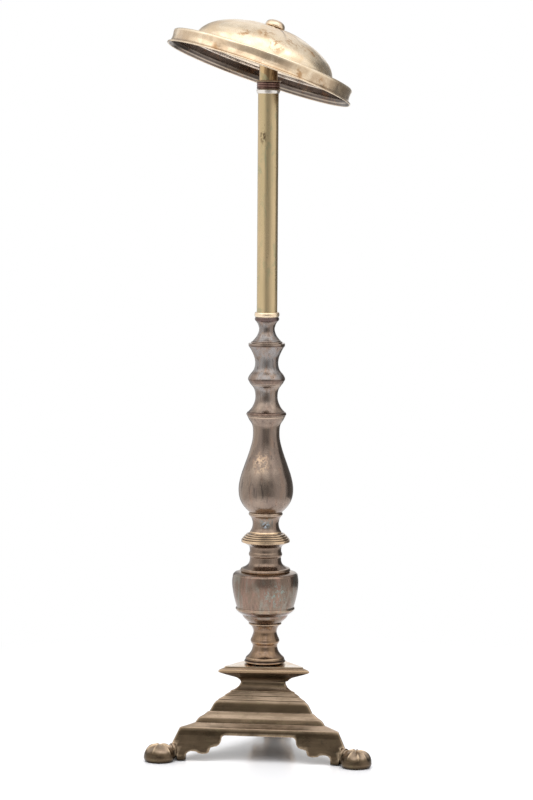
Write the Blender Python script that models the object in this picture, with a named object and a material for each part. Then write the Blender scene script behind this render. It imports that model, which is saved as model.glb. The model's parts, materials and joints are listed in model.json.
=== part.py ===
"""Brass display stand: a tilting domed cap on a telescopic post, over a turned column and a three-footed base.

Units are metres and +Z is up. The column stands on the Z line through COLUMN_Y, the feet rest on z = 0, and
the origin is the middle of the stand's box on the floor. The stand faces -Y. The cap is drawn as it leans at rest.
"""

from math import asin, cos, pi, radians, sin, sqrt, tan

import bmesh
import bpy
from mathutils import Matrix, Vector

MM = 0.001

# ---------------------------------------------------------------- driving sizes
SEAT_GAP = 0.3 * MM          # between pieces that are bolted or pressed together
SLIDE_GAP = 0.3 * MM         # round a piece that slides or turns inside another
OVERSHOOT = 5.0 * MM         # how far a cutting shape runs past the face it cuts
WELD_LAP = 1.0 * MM          # how far shapes run into each other where they are one piece
ROUND_SIDES = 20             # flats round a turned piece
CAP_SIDES = 40               # flats round the spun cap
LONG_SPAN = 6.5 * MM         # a span of a curve longer than this gets a point in its middle

# base casting: corner distance from the column's axis and height, from the neck down to the apron's top edge
BASE_SCOTIA = ((24.4, 69.7), (24.0, 68.2), (25.8, 65.2), (29.0, 62.9), (32.4, 61.5))
BASE_STEPS = ((34.2, 61.2), (34.6, 60.2), (37.8, 58.6), (39.8, 57.6), (40.2, 56.8), (44.0, 55.0), (46.4, 54.0))
BASE_BULGE = ((46.6, 53.4), (50.2, 50.8), (53.4, 46.2), (55.2, 43.3))
BASE_COVE = ((57.4, 42.7), (61.0, 40.2), (65.4, 38.2), (68.0, 35.8), (69.6, 33.6))
BASE_FLARE = ((72.4, 32.9), (78.6, 31.3), (83.8, 30.4), (85.2, 29.6))
APRON_SPLAY = 0.54           # how far the corner moves out for each unit of height below the apron's edge
APRON_CLEARANCE = 1.0 * MM   # from the apron's lowest edge to the floor
BASE_CORNER_ROUND = 1.6 * MM
BASE_WALL = 3.6 * MM
BASE_CEILING = 59.5 * MM     # underside of the solid neck, where the tie washer seats
CAVITY_LEVELS = (17.0, 26.0, 31.0, 37.0, 42.0, 50.0, 56.0)
CORNER_SOLID = 13.0 * MM     # metal left in each corner above the legs

# scalloped opening under each side: half width and height of its points
ARCH_TOP = 24.0
ARCH_TOP_HALF = 31.0
ARCH_SHOULDER = (34.8, 20.0)
ARCH_COVE_END = (41.0, 13.8)
ARCH_NOTCH = (44.4, 12.8)
ARCH_LOBE_START = (45.6, 9.4)
ARCH_LOBE_LOW = (51.0, 7.2)
ARCH_HOLLOW = (61.6, 9.2)
LEG_EDGE = 67.3

# feet, and the bearing of each from +X towards +Y
FEET = {"front_right": radians(-30), "back": radians(90), "front_left": radians(210)}
LEG_FLAT_DEPTH = 6.3 * MM    # cut off each corner at the screw's height, so that the foot's neck seats flat
LEG_PAD = 8.8 * MM           # metal between that flat and the one inside, where the screw's head seats
NECK_Z = 8.6 * MM            # height of the foot's neck and screw
NECK_R = 7.2 * MM
NECK_BEAD = 3.6 * MM
NECK_EDGE = 1.0 * MM
NECK_THROAT_R = 5.6 * MM
FOOT_R = 14.5 * MM
FOOT_HEIGHT = 16.6 * MM
FOOT_PAD_R = 12.4 * MM       # flat underneath
FOOT_BELLY = 3.0 * MM        # height where it is widest
FOOT_SQUARENESS = 2.5        # 2 is an ellipse, more is boxier
FOOT_SCREW_R = 1.9 * MM
FOOT_SCREW_HEAD_R = 3.8 * MM
FOOT_SCREW_HEAD = 2.6 * MM
FOOT_SCREW_BITE = 12.0 * MM  # thread inside the foot
SLOT_WIDTH = 1.0 * MM
SLOT_DEPTH = 1.0 * MM

# triangular plate on the casting, slipped a little round the tie rod
PLATE_TURN = radians(4.5)
PLATE_UNDER = ((25.4, 0.0), (26.8, 1.6), (30.4, 3.7), (36.8, 5.8), (43.2, 7.9), (47.8, 9.6))
PLATE_EDGE = ((48.6, 10.3), (48.6, 11.0), (47.2, 12.3), (43.4, 13.4))
PLATE_TOP = ((42.0, 13.6), (41.8, 14.9))

# tube, whose outside the ferrule, the collar and the top of the column follow
TUBE_R = 9.525 * MM
TUBE_WALL = 0.75 * MM
TUBE_LENGTH = 212.0 * MM

# turned column, each piece from its own seat up: radius and height, smooth within each row
FOOT_SPOOL = (
    ((17.0, 0.0), (19.3, 1.5), (18.5, 2.8)),
    ((17.8, 3.0), (18.3, 3.9), (17.5, 5.6)),
    ((17.2, 5.9), (14.9, 8.0), (12.5, 11.6), (11.5, 15.5), (11.9, 18.0)),
    ((12.4, 18.4), (13.5, 20.9), (12.6, 23.8)),
    ((12.4, 24.0), (10.9, 28.6), (11.5, 32.4), (13.4, 35.8)),
    ((14.8, 36.3), (15.4, 37.2), (14.9, 38.1)),
)
VASE = (
    ((15.1, 0.0), (17.6, 2.2), (20.2, 4.8), (21.4, 7.6)),
    ((22.4, 8.1), (24.8, 9.6), (26.6, 11.2)),
    ((26.7, 11.5), (27.6, 12.9), (26.8, 14.5)),
    ((26.7, 14.9), (28.9, 23.0), (30.5, 32.0), (30.9, 39.0), (30.1, 45.0)),
    ((28.6, 46.6), (24.4, 47.6)),
)
NECK_KNOP = (
    ((22.7, 0.0), (23.3, 1.2), (22.4, 3.0)),
    ((20.6, 3.3), (16.4, 6.3), (14.8, 9.4), (14.5, 13.2)),
    ((14.7, 13.7), (15.6, 15.9), (14.9, 18.2)),
    ((14.7, 18.5), (14.7, 21.4), (15.8, 24.2), (21.0, 27.2)),
    ((22.5, 27.6), (22.5, 30.0)),
    ((21.3, 30.0), (21.3, 31.8)),
    ((19.7, 31.8), (19.7, 33.6)),
    ((17.9, 33.6), (17.9, 35.2)),
    ((15.4, 35.4), (15.1, 36.4)),
)
RING_SPOOL = (
    ((14.9, 0.0), (12.9, 3.6), (12.1, 8.0), (12.9, 12.4), (14.3, 14.9)),
    ((14.8, 15.2), (15.9, 17.0), (15.0, 18.9)),
)
BALUSTER = (
    ((15.6, 0.0), (21.0, 5.8), (24.6, 13.4), (25.4, 22.6), (23.6, 32.8), (19.9, 44.0), (15.7, 56.0),
     (12.9, 66.6), (12.3, 74.4), (13.1, 81.0), (16.0, 85.9), (17.8, 89.5)),
)
MIDDLE_SPOOL = (
    ((17.9, 0.0), (18.6, 1.4), (17.7, 3.2)),
    ((17.0, 3.5), (13.4, 7.6), (10.8, 13.6), (10.3, 19.0), (11.4, 24.6), (14.6, 29.1)),
)
UPPER_SPOOL = (
    ((15.0, 0.0), (16.4, 2.6)),
    ((16.7, 3.0), (17.2, 5.2), (15.4, 8.8), (12.0, 13.2), (10.7, 19.0), (11.6, 25.2), (14.6, 31.8),
     (16.7, 35.0)),
    ((16.9, 35.4), (16.9, 37.8)),
)
TOP_SPOOL = (
    ((14.6, 0.0), (14.3, 1.2)),
    ((13.1, 1.3), (12.6, 2.5)),
    ((12.1, 2.7), (8.9, 7.0), (7.2, 12.4), (8.2, 17.0), (9.9, 19.9)),
    ((TUBE_R / MM + 0.9, 20.2), (TUBE_R / MM + 1.9, 22.0), (TUBE_R / MM + 1.2, 23.8)),
)
FERRULE = (
    ((TUBE_R / MM + 1.4, 0.0), (TUBE_R / MM + 2.0, 1.4), (TUBE_R / MM + 2.0, 3.0), (TUBE_R / MM + 1.4, 4.4)),
)
COLUMN_WALL = 3.2 * MM       # thinnest metal in the cast column pieces, which are cored out

# tie rod
ROD_R = 4.0 * MM
ROD_TAIL = 3.0 * MM          # thread below the nut
WASHER_R = 11.0 * MM
WASHER_THICKNESS = 2.4 * MM
NUT_FLATS = 13.0 * MM
NUT_HEIGHT = 6.5 * MM

# plug in the tube's foot, and the collar on its top that grips the post
PLUG_HEIGHT = 20.0 * MM
PLUG_BITE = 15.0 * MM        # rod inside the plug
COLLAR_SEAT_WALL = 1.1 * MM
COLLAR_SEAT_HEIGHT = 3.6 * MM
COLLAR_SEAT_BEVEL = 2.6 * MM
COLLAR_WALL = 0.9 * MM
COLLAR_LIP_FLARE = 1.2 * MM
COLLAR_LIP = 1.6 * MM
COLLAR_EDGE = 0.4 * MM
COLLAR_BANDS = 3
COLLAR_GRIP = 6.6 * MM
COLLAR_GROOVE = 0.35 * MM
TUBE_IN_COLLAR = 2.6 * MM    # tube standing up inside the collar
COLLET_HEIGHT = 3.6 * MM
COLLET_SPLIT = 1.6 * MM

# telescopic post
POST_WALL = 1.0 * MM
POST_LENGTH = 190.0 * MM
POST_ABOVE_COLLAR = 17.6 * MM
GUIDE_HEIGHT = 5.0 * MM
SPIGOT_LENGTH = 11.0 * MM

# knuckle
FORK_FLANGE = 2.6 * MM
EAR_THICKNESS = 3.4 * MM
EAR_R = 6.5 * MM
TONGUE_THICKNESS = 4.0 * MM
TONGUE_R = 6.0 * MM
TONGUE_ROOM = 5.8 * MM       # below the tongue's end in the fork
TONGUE_NECK = 6.6 * MM       # from the tongue's round end up to the saddle
PIVOT_R = 2.3 * MM
BOLT_HEAD_R = 4.4 * MM
BOLT_HEAD = 3.0 * MM
BOLT_TAIL = 1.5 * MM         # thread standing out of the wing nut
WING_HUB_R = 4.8 * MM
WING_HUB = 5.0 * MM
WING_SPAN = 22.0 * MM
WING_HEIGHT = 8.0 * MM
WING_TIP = 3.0 * MM
WING_SLOPE = 2.0 * MM        # how far the wing's end leans in
WING_THICKNESS = 1.8 * MM
SADDLE_R = 10.0 * MM         # disc under the cap's crown
SADDLE_THICKNESS = 2.5 * MM
CROWN_MARGIN = 0.5 * MM      # flat metal left round the saddle
STUD_R = 3.0 * MM
STUD_IN_KNOB = 4.4 * MM

# cap
HEAD_TILT = radians(19.6)    # how far the cap leans at rest
HEAD_BEARING = radians(23.0)  # the way it leans, from +X towards +Y
CAP_LIP_R = 88.9 * MM
CAP_LIP_FLARE = 2.7 * MM     # how far the lip stands out from the band
CAP_LIP_HEIGHT = 2.4 * MM
CAP_LIP_BEAD = 0.8 * MM
CAP_BAND_HEIGHT = 14.0 * MM
CAP_BAND_WAIST = 0.5 * MM
CAP_LEDGE = 20.2 * MM        # flat ring between the band and the dome's foot
CAP_EDGE_ROUND = 1.6 * MM
CAP_SHEET = 1.0 * MM
DOME_HEIGHT = 31.0 * MM
DOME_FILLET = 2.0 * MM       # the dome's hollow foot on the ledge
KNOB_R = 9.2 * MM
KNOB_RIM = 2.2 * MM
KNOB_HEIGHT = 7.0 * MM
KNOB_EDGE = 0.6 * MM

# ---------------------------------------------------------------- worked out from the sizes above
LEG_CUT = BASE_FLARE[-1][0] * MM + APRON_SPLAY * (BASE_FLARE[-1][1] * MM - NECK_Z) - LEG_FLAT_DEPTH
LEG_CUT_TOP = NECK_Z + NECK_R + SEAT_GAP
FOOT_CIRCLE = LEG_CUT + 2 * SEAT_GAP + FOOT_R
POST_R = TUBE_R - TUBE_WALL - SLIDE_GAP
COLLAR_SEAT_R = TUBE_R + SEAT_GAP + COLLAR_SEAT_WALL
COLLAR_R = TUBE_R + SEAT_GAP + COLLAR_WALL
COLLAR_LIP_R = COLLAR_R + COLLAR_LIP_FLARE
PIVOT_ABOVE_POST = SEAT_GAP + FORK_FLANGE + TONGUE_ROOM + TONGUE_R
CROWN_ABOVE_PIVOT = TONGUE_R + TONGUE_NECK + SADDLE_THICKNESS + SEAT_GAP
CROWN_FLAT_R = SADDLE_R + CROWN_MARGIN
CAP_BAND_R = CAP_LIP_R - CAP_LIP_FLARE
DOME_R = CAP_BAND_R - CAP_LEDGE

# the stand's depth runs from the cap's front to the back foot, and its middle is the origin
RIM_BELOW_PIVOT = CAP_BAND_HEIGHT + DOME_HEIGHT - CAP_SHEET - CROWN_ABOVE_PIVOT
LEAN_BACK = sin(HEAD_TILT) * sin(HEAD_BEARING)
FRONT_REACH = CAP_LIP_R * sqrt(1 - LEAN_BACK ** 2) + RIM_BELOW_PIVOT * LEAN_BACK
BACK_REACH = FOOT_CIRCLE + FOOT_R
COLUMN_Y = (FRONT_REACH - BACK_REACH) / 2


# ---------------------------------------------------------------- modelling helpers
def clear_scene():
    for thing in list(bpy.data.objects):
        bpy.data.objects.remove(thing, do_unlink=True)


def material(name, colour, roughness, metallic=1.0):
    made = bpy.data.materials.new(name)
    made.use_nodes = True
    shader = made.node_tree.nodes["Principled BSDF"]
    shader.inputs["Base Color"].default_value = (*colour, 1.0)
    shader.inputs["Roughness"].default_value = roughness
    shader.inputs["Metallic"].default_value = metallic
    return made


FINISHES = {
    "polished": ((0.82, 0.64, 0.36), 0.28),
    "tube": ((0.46, 0.36, 0.22), 0.38),
    "dark": ((0.19, 0.15, 0.11), 0.45),
    "base": ((0.15, 0.115, 0.075), 0.5),
    "iron": ((0.12, 0.11, 0.10), 0.6),
}


def empty(name, place, parent=None, turn=None):
    made = bpy.data.objects.new(name, None)
    bpy.context.scene.collection.objects.link(made)
    made.parent = parent
    made.location = place
    if turn is not None:
        made.rotation_mode = "QUATERNION"
        made.rotation_quaternion = turn
    return made


def solid(name, mesh, parent, place=(0, 0, 0), turn=0.0, finish=None):
    """An object for a bmesh, with flat creases kept sharp and the rest shaded smooth."""
    bmesh.ops.recalc_face_normals(mesh, faces=mesh.faces)
    data = bpy.data.meshes.new(name)
    mesh.to_mesh(data)
    mesh.free()
    data.shade_smooth()
    data.set_sharp_from_angle(angle=radians(35))
    made = bpy.data.objects.new(name, data)
    bpy.context.scene.collection.objects.link(made)
    made.parent = parent
    made.location = place
    made.rotation_euler = (0, 0, turn)
    if finish:
        data.materials.append(material(name, *FINISHES[finish]))
    return made


def smooth(keys):
    """Points along a Catmull-Rom curve through the keys, in metres for keys in millimetres."""
    keys = [Vector(key) * MM for key in keys]
    if len(keys) == 2:
        return keys
    points = [keys[0]]
    for i in range(len(keys) - 1):
        before = keys[max(i - 1, 0)]
        after = keys[min(i + 2, len(keys) - 1)]
        a, b = keys[i], keys[i + 1]
        steps = 2 if (b - a).length > LONG_SPAN else 1
        for step in range(1, steps + 1):
            t = step / steps
            leave, arrive = (b - before) / 2, (after - a) / 2
            points.append(a * (2 * t ** 3 - 3 * t ** 2 + 1) + leave * (t ** 3 - 2 * t ** 2 + t)
                          + b * (3 * t ** 2 - 2 * t ** 3) + arrive * (t ** 3 - t ** 2))
    return points


def turning(rows):
    """The outer outline of a turned piece, from its seat up."""
    return [point for row in rows for point in smooth(row)]


def spun(outline, sides=ROUND_SIDES, around="Z"):
    """A solid of revolution. The outline is (radius, height) pairs, closed by itself or by the axis."""
    mesh = bmesh.new()
    points = [mesh.verts.new((radius, 0, height)) for radius, height in outline]
    on_axis = outline[0][0] < 1e-7 and outline[-1][0] < 1e-7
    edges = [mesh.edges.new(pair) for pair in zip(points, points[1:])]
    if not on_axis:
        edges.append(mesh.edges.new((points[-1], points[0])))
    bmesh.ops.spin(mesh, geom=points + edges, axis=(0, 0, 1), cent=(0, 0, 0), steps=sides, angle=2 * pi,
                   use_merge=True)
    bmesh.ops.remove_doubles(mesh, verts=mesh.verts, dist=1e-6)
    if around == "X":
        bmesh.ops.rotate(mesh, verts=mesh.verts, matrix=Matrix.Rotation(pi / 2, 3, "Y"))
    if around == "Y":
        bmesh.ops.rotate(mesh, verts=mesh.verts, matrix=Matrix.Rotation(-pi / 2, 3, "X"))
    return mesh


def ring(inner, outer, low, high):
    return [(inner, low), (outer, low), (outer, high), (inner, high)]


def rod(radius, low, high):
    return [(0, low), (radius, low), (radius, high), (0, high)]


def prism(outline, low, high):
    """An outline of (x, y) points pulled up from low to high."""
    mesh = bmesh.new()
    floor = mesh.faces.new([mesh.verts.new((x, y, low)) for x, y in outline])
    grown = bmesh.ops.extrude_face_region(mesh, geom=[floor])["geom"]
    raised = [v for v in grown if isinstance(v, bmesh.types.BMVert)]
    bmesh.ops.translate(mesh, vec=(0, 0, high - low), verts=raised)
    return mesh


def block(low, high):
    mesh = bmesh.new()
    bmesh.ops.create_cube(mesh, size=1.0)
    low, high = Vector(low), Vector(high)
    bmesh.ops.scale(mesh, vec=high - low, verts=mesh.verts)
    bmesh.ops.translate(mesh, vec=(low + high) / 2, verts=mesh.verts)
    return mesh


def combine(target, mesh, name, operation, place=(0, 0, 0), turn=0.0):
    """Cut a shape out of the target, or weld it on. The shape stays in the scene as a hidden guide."""
    tool = solid(target.name + "_" + name, mesh, target.parent, place, turn)
    tool.hide_render = True
    tool.display_type = "WIRE"
    step = target.modifiers.new(name, "BOOLEAN")
    step.operation = operation
    step.solver = "EXACT"
    step.object = tool


# ---------------------------------------------------------------- the three-sided base
def triangle(corner, corner_round, steps=3):
    """A rounded triangle whose corners point to the feet and lie this far from the axis."""
    centre = corner - corner_round
    points = []
    for foot in FEET.values():
        middle = Vector((cos(foot), sin(foot))) * centre
        for step in range(steps + 1):
            angle = foot + radians(60) * (2 * step / steps - 1)
            points.append(middle + Vector((cos(angle), sin(angle))) * corner_round)
    return points


def cropped_triangle(side, corner):
    """A triangle with sides this far from the axis, its corners cut square at the corner distance."""
    half = (2 * side - corner) * tan(radians(30))
    points = []
    for foot in FEET.values():
        out = Vector((cos(foot), sin(foot)))
        along = Vector((-sin(foot), cos(foot)))
        points += [out * corner - along * half, out * corner + along * half]
    return points


def loft(loops):
    """A closed solid through loops of the same count, each a (points, height) pair."""
    mesh = bmesh.new()
    rings = [[mesh.verts.new((x, y, z)) for x, y in points] for points, z in loops]
    for lower, upper in zip(rings, rings[1:]):
        for i in range(len(lower)):
            j = (i + 1) % len(lower)
            mesh.faces.new((lower[i], lower[j], upper[j], upper[i]))
    mesh.faces.new(rings[0])
    mesh.faces.new(rings[-1])
    return mesh


def base_levels():
    """Corner distance and height of the casting's outside, from the floor up."""
    levels = []
    for row in (BASE_SCOTIA, BASE_STEPS, BASE_BULGE, BASE_COVE, BASE_FLARE):
        levels += [(x * MM, z * MM) for x, z in row]
    edge, top = levels[-1]
    levels.append((edge + APRON_SPLAY * (top - APRON_CLEARANCE), APRON_CLEARANCE))
    return levels[::-1]


def base_corner(height):
    """The casting's corner distance at a height, between its levels."""
    levels = base_levels()
    for (low_corner, low), (high_corner, high) in zip(levels, levels[1:]):
        if height <= high:
            share = max(height - low, 0) / (high - low)
            return low_corner + (high_corner - low_corner) * share
    return levels[-1][0]


def cavity_loop(height):
    """The hollow's outline: one wall in from the outside, and from the steps just above."""
    outside = min(base_corner(height), base_corner(height + BASE_WALL))
    side = (outside + BASE_CORNER_ROUND) / 2 - BASE_WALL
    pad = LEG_CUT - LEG_PAD
    corner = pad if height <= CAVITY_LEVELS[0] * MM else min(pad, outside - CORNER_SOLID)
    return cropped_triangle(side, corner), height


def arch_outline():
    """The opening under a side, as (along the side, height) points."""
    def quarter(start, end, level_first, steps=4):
        points = []
        for step in range(1, steps + 1):
            angle = radians(90) * step / steps
            fast, slow = sin(angle), 1 - cos(angle)
            x_share, z_share = (fast, slow) if level_first else (slow, fast)
            points.append((start[0] + (end[0] - start[0]) * x_share, start[1] + (end[1] - start[1]) * z_share))
        return points

    half = [(ARCH_TOP_HALF, ARCH_TOP)]
    half += quarter(half[-1], ARCH_SHOULDER, True, 3)
    half += quarter(ARCH_SHOULDER, ARCH_COVE_END, False)
    half += [ARCH_NOTCH, ARCH_LOBE_START]
    half += quarter(ARCH_LOBE_START, ARCH_LOBE_LOW, False, 3)
    middle = ((ARCH_LOBE_LOW[0] + ARCH_HOLLOW[0]) / 2, (ARCH_LOBE_LOW[1] + ARCH_HOLLOW[1]) / 2)
    half += quarter(ARCH_LOBE_LOW, middle, True, 2)
    half += quarter(middle, ARCH_HOLLOW, False, 2)
    half += quarter(ARCH_HOLLOW, (LEG_EDGE, ARCH_HOLLOW[1] / 2), True, 3)
    half += [(LEG_EDGE, -5.0)]
    half = [(x * MM, z * MM) for x, z in half]
    return half + [(-x, z) for x, z in reversed(half)]


def make_base(parent):
    outside = [(triangle(corner, BASE_CORNER_ROUND), z) for corner, z in base_levels()]
    casting = solid("base_casting", loft(outside), parent, finish="base")
    inside = [cavity_loop(-OVERSHOOT)] + [cavity_loop(z * MM) for z in CAVITY_LEVELS]
    inside.append((inside[-1][0], BASE_CEILING))
    combine(casting, loft(inside), "hollow", "DIFFERENCE")
    hole = rod(ROD_R + SEAT_GAP, BASE_CEILING - OVERSHOOT, BASE_SCOTIA[0][1] * MM + OVERSHOOT)
    combine(casting, spun(hole), "rod_hole", "DIFFERENCE")
    wall_inside = (base_corner(ARCH_TOP * MM) + BASE_CORNER_ROUND) / 2 - BASE_WALL
    bore = rod(FOOT_SCREW_R + SEAT_GAP, LEG_CUT - LEG_PAD - OVERSHOOT, LEG_CUT + OVERSHOOT)
    for name, foot in FEET.items():
        arch = prism(arch_outline(), wall_inside - OVERSHOOT, LEG_CUT)
        bmesh.ops.rotate(arch, verts=arch.verts, matrix=Matrix.Rotation(pi / 2, 3, "X"))
        combine(casting, arch, "arch_" + name, "DIFFERENCE", turn=foot + radians(30))
        nose = block((LEG_CUT, -LEG_CUT / 2, -OVERSHOOT), (LEG_CUT * 1.5, LEG_CUT / 2, LEG_CUT_TOP))
        combine(casting, nose, "flat_" + name, "DIFFERENCE", turn=foot)
        combine(casting, spun(bore, 12, "X"), "bore_" + name, "DIFFERENCE", (0, 0, NECK_Z), foot)


def foot_dome(steps=6):
    """A foot's outline, boxier than an ellipse, from its flat pad up to the middle of its top."""
    dome = [(0, 0), (FOOT_PAD_R, 0)]
    for step in range(steps):
        angle = radians(90) * step / steps
        across, up = cos(angle) ** (2 / FOOT_SQUARENESS), sin(angle) ** (2 / FOOT_SQUARENESS)
        dome.append((FOOT_R * across, FOOT_BELLY + (FOOT_HEIGHT - FOOT_BELLY) * up))
    return dome + [(0, FOOT_HEIGHT)]


def make_feet(parent):
    neck_start = LEG_CUT + SEAT_GAP
    neck_end = FOOT_CIRCLE - FOOT_R / 2
    neck = [(0, neck_start), (NECK_R - NECK_EDGE, neck_start), (NECK_R, neck_start + NECK_BEAD / 3),
            (NECK_R, neck_start + NECK_BEAD * 2 / 3), (NECK_THROAT_R, neck_start + NECK_BEAD),
            (NECK_THROAT_R, neck_end), (0, neck_end)]
    head_face = LEG_CUT - LEG_PAD - SEAT_GAP
    head_end = head_face - FOOT_SCREW_HEAD
    tip = neck_start + FOOT_SCREW_BITE
    screw = [(0, head_end), (FOOT_SCREW_HEAD_R, head_end), (FOOT_SCREW_HEAD_R, head_face),
             (FOOT_SCREW_R, head_face), (FOOT_SCREW_R, tip), (0, tip)]
    hole = rod(FOOT_SCREW_R + SEAT_GAP, neck_start - OVERSHOOT, tip + SEAT_GAP)
    slot_reach = FOOT_SCREW_HEAD_R + WELD_LAP
    for name, bearing in FEET.items():
        place = (FOOT_CIRCLE * cos(bearing), FOOT_CIRCLE * sin(bearing), 0)
        foot = solid("foot_" + name, spun(foot_dome()), parent, place, bearing, "base")
        combine(foot, spun(neck, ROUND_SIDES, "X"), "neck", "UNION", (0, 0, NECK_Z), bearing)
        combine(foot, spun(hole, 12, "X"), "hole", "DIFFERENCE", (0, 0, NECK_Z), bearing)
        fixing = solid("foot_screw_" + name, spun(screw, 12, "X"), parent, (0, 0, NECK_Z), bearing, "iron")
        slot = block((head_end - WELD_LAP, -SLOT_WIDTH / 2, -slot_reach),
                     (head_end + SLOT_DEPTH, SLOT_WIDTH / 2, slot_reach))
        combine(fixing, slot, "slot", "DIFFERENCE", (0, 0, NECK_Z), bearing)


def make_plate(parent):
    seat = BASE_SCOTIA[0][1] * MM + SEAT_GAP
    levels = [(x * MM, seat + z * MM) for row in (PLATE_UNDER, PLATE_EDGE, PLATE_TOP) for x, z in row]
    loops = [(triangle(corner, BASE_CORNER_ROUND), z) for corner, z in levels]
    plate = solid("base_plate", loft(loops), parent, turn=PLATE_TURN, finish="base")
    top = levels[-1][1]
    combine(plate, spun(rod(ROD_R + SEAT_GAP, seat - OVERSHOOT, top + OVERSHOOT)), "rod_hole", "DIFFERENCE")
    return top + SEAT_GAP


# ---------------------------------------------------------------- the turned column
def bored(rows, bore, wall=None):
    """A turned outline closed by a through bore, cored out where the metal would be thicker than the wall."""
    outer = turning(rows)
    outline = list(outer) + [Vector((bore, outer[-1].y))]
    if wall:
        land = 2 * wall
        for point in reversed(outer):
            if outer[0].y + land < point.y < min(outer[-1].y, outline[-1].y) - land:
                outline.append(Vector((max(bore, point.x - wall), point.y)))
    outline.append(Vector((bore, outer[0].y)))
    return outline


def make_column(parent, seat):
    """Stack the turned pieces on the plate, and return the height of the tube's seat."""
    bore = ROD_R + SEAT_GAP
    stack = [("foot_spool", FOOT_SPOOL, None), ("vase", VASE, COLUMN_WALL), ("neck_knop", NECK_KNOP, None),
             ("ring_spool", RING_SPOOL, None), ("baluster", BALUSTER, COLUMN_WALL),
             ("middle_spool", MIDDLE_SPOOL, None), ("upper_spool", UPPER_SPOOL, None),
             ("top_spool", TOP_SPOOL, None)]
    for name, rows, wall in stack:
        solid(name, spun(bored(rows, bore, wall)), parent, (0, 0, seat), finish="dark")
        seat += rows[-1][-1][1] * MM + SEAT_GAP
    ferrule = bored(FERRULE, TUBE_R + SEAT_GAP)
    solid("tube_ferrule", spun(ferrule), parent, (0, 0, seat), finish="polished")
    return seat


def make_tie(parent, tube_seat):
    washer_top = BASE_CEILING - SEAT_GAP
    washer_low = washer_top - WASHER_THICKNESS
    nut_top = washer_low - SEAT_GAP
    nut_low = nut_top - NUT_HEIGHT
    rod_outline = rod(ROD_R, nut_low - ROD_TAIL, tube_seat + PLUG_BITE)
    solid("tie_rod", spun(rod_outline), parent, finish="iron")
    hole = ROD_R + SEAT_GAP
    solid("tie_washer", spun(ring(hole, WASHER_R, washer_low, washer_top)), parent, finish="iron")
    corner = NUT_FLATS / 2 / cos(radians(30))
    hexagon = [(corner * cos(radians(60 * i)), corner * sin(radians(60 * i))) for i in range(6)]
    nut = solid("tie_nut", prism(hexagon, nut_low, nut_top), parent, finish="iron")
    combine(nut, spun(rod(hole, nut_low - OVERSHOOT, nut_top + OVERSHOOT)), "hole", "DIFFERENCE")
    inside = TUBE_R - TUBE_WALL - SEAT_GAP
    top = tube_seat + PLUG_HEIGHT
    plug = [(0, top), (0, tube_seat + PLUG_BITE + SEAT_GAP), (hole, tube_seat + PLUG_BITE + SEAT_GAP),
            (hole, tube_seat), (inside, tube_seat), (inside, top)]
    solid("tube_plug", spun(plug), parent, finish="tube")


# ---------------------------------------------------------------- tube and collar
def make_tube(parent, tube_seat):
    """The tube and the collar on its top. Returns the height of the collar's top."""
    inside = TUBE_R - TUBE_WALL
    tube_top = tube_seat + TUBE_LENGTH
    solid("outer_tube", spun(ring(inside, TUBE_R, tube_seat, tube_top)), parent, finish="tube")
    collar_low = tube_top - TUBE_IN_COLLAR
    bore = TUBE_R + SEAT_GAP
    seat_top = collar_low - SEAT_GAP
    seat_low = seat_top - COLLAR_SEAT_HEIGHT
    seat = [(bore, seat_low), (bore + COLLAR_EDGE, seat_low), (COLLAR_SEAT_R, seat_low + COLLAR_SEAT_BEVEL),
            (COLLAR_SEAT_R, seat_top), (bore, seat_top)]
    solid("collar_seat", spun(seat), parent, finish="tube")

    lip_low = collar_low + COLLAR_GRIP
    top = lip_low + COLLAR_LIP
    hole = POST_R + SLIDE_GAP
    grip = [(bore, collar_low)]
    band = COLLAR_GRIP / COLLAR_BANDS
    for i in range(COLLAR_BANDS):
        low = collar_low + band * i
        grip += [(COLLAR_R - COLLAR_GROOVE, low), (COLLAR_R, low + 0.3 * band), (COLLAR_R, low + 0.7 * band)]
    grip += [(COLLAR_R - COLLAR_GROOVE, lip_low), (COLLAR_LIP_R, lip_low + COLLAR_EDGE),
             (COLLAR_LIP_R, top - COLLAR_EDGE), (COLLAR_LIP_R - COLLAR_EDGE, top),
             (hole, top), (hole, lip_low), (bore, lip_low)]
    solid("collar_nut", spun(grip), parent, finish="tube")
    collet_low = tube_top + SEAT_GAP
    collet_top = collet_low + COLLET_HEIGHT
    collet = solid("collet", spun(ring(hole, TUBE_R, collet_low, collet_top)), parent, finish="tube")
    split = block((0, -COLLET_SPLIT / 2, collet_low - OVERSHOOT),
                  (TUBE_R + OVERSHOOT, COLLET_SPLIT / 2, collet_top + OVERSHOOT))
    combine(collet, split, "split", "DIFFERENCE")
    return top


# ---------------------------------------------------------------- post and knuckle
def stadium(radius, low, sides=12):
    """A strip with a round end at the origin, running down to low. Turned over for a strip that runs up."""
    points = [(radius * cos(pi * i / sides), radius * sin(pi * i / sides)) for i in range(sides + 1)]
    return points + [(-radius, low), (radius, low)]


def plate_on_pivot(outline, left, right):
    """A plate of (across, up) points, between two places along the pivot's axis, which is local Y."""
    mesh = prism(outline, -right, -left)
    bmesh.ops.rotate(mesh, verts=mesh.verts, matrix=Matrix.Rotation(pi / 2, 3, "X"))
    return mesh


def make_post(parent, post_top):
    """The sliding post with its guide. Its top is at post_top."""
    inner = POST_R - POST_WALL
    low = post_top - POST_LENGTH
    spigot = inner - SEAT_GAP
    solid("inner_post", spun(ring(inner, POST_R, low, post_top)), parent, finish="tube")
    flange_top = low - SEAT_GAP
    guide = [(0, flange_top - GUIDE_HEIGHT), (POST_R, flange_top - GUIDE_HEIGHT), (POST_R, flange_top),
             (spigot, flange_top), (spigot, flange_top + SPIGOT_LENGTH), (0, flange_top + SPIGOT_LENGTH)]
    solid("post_guide", spun(guide), parent, finish="tube")


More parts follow.
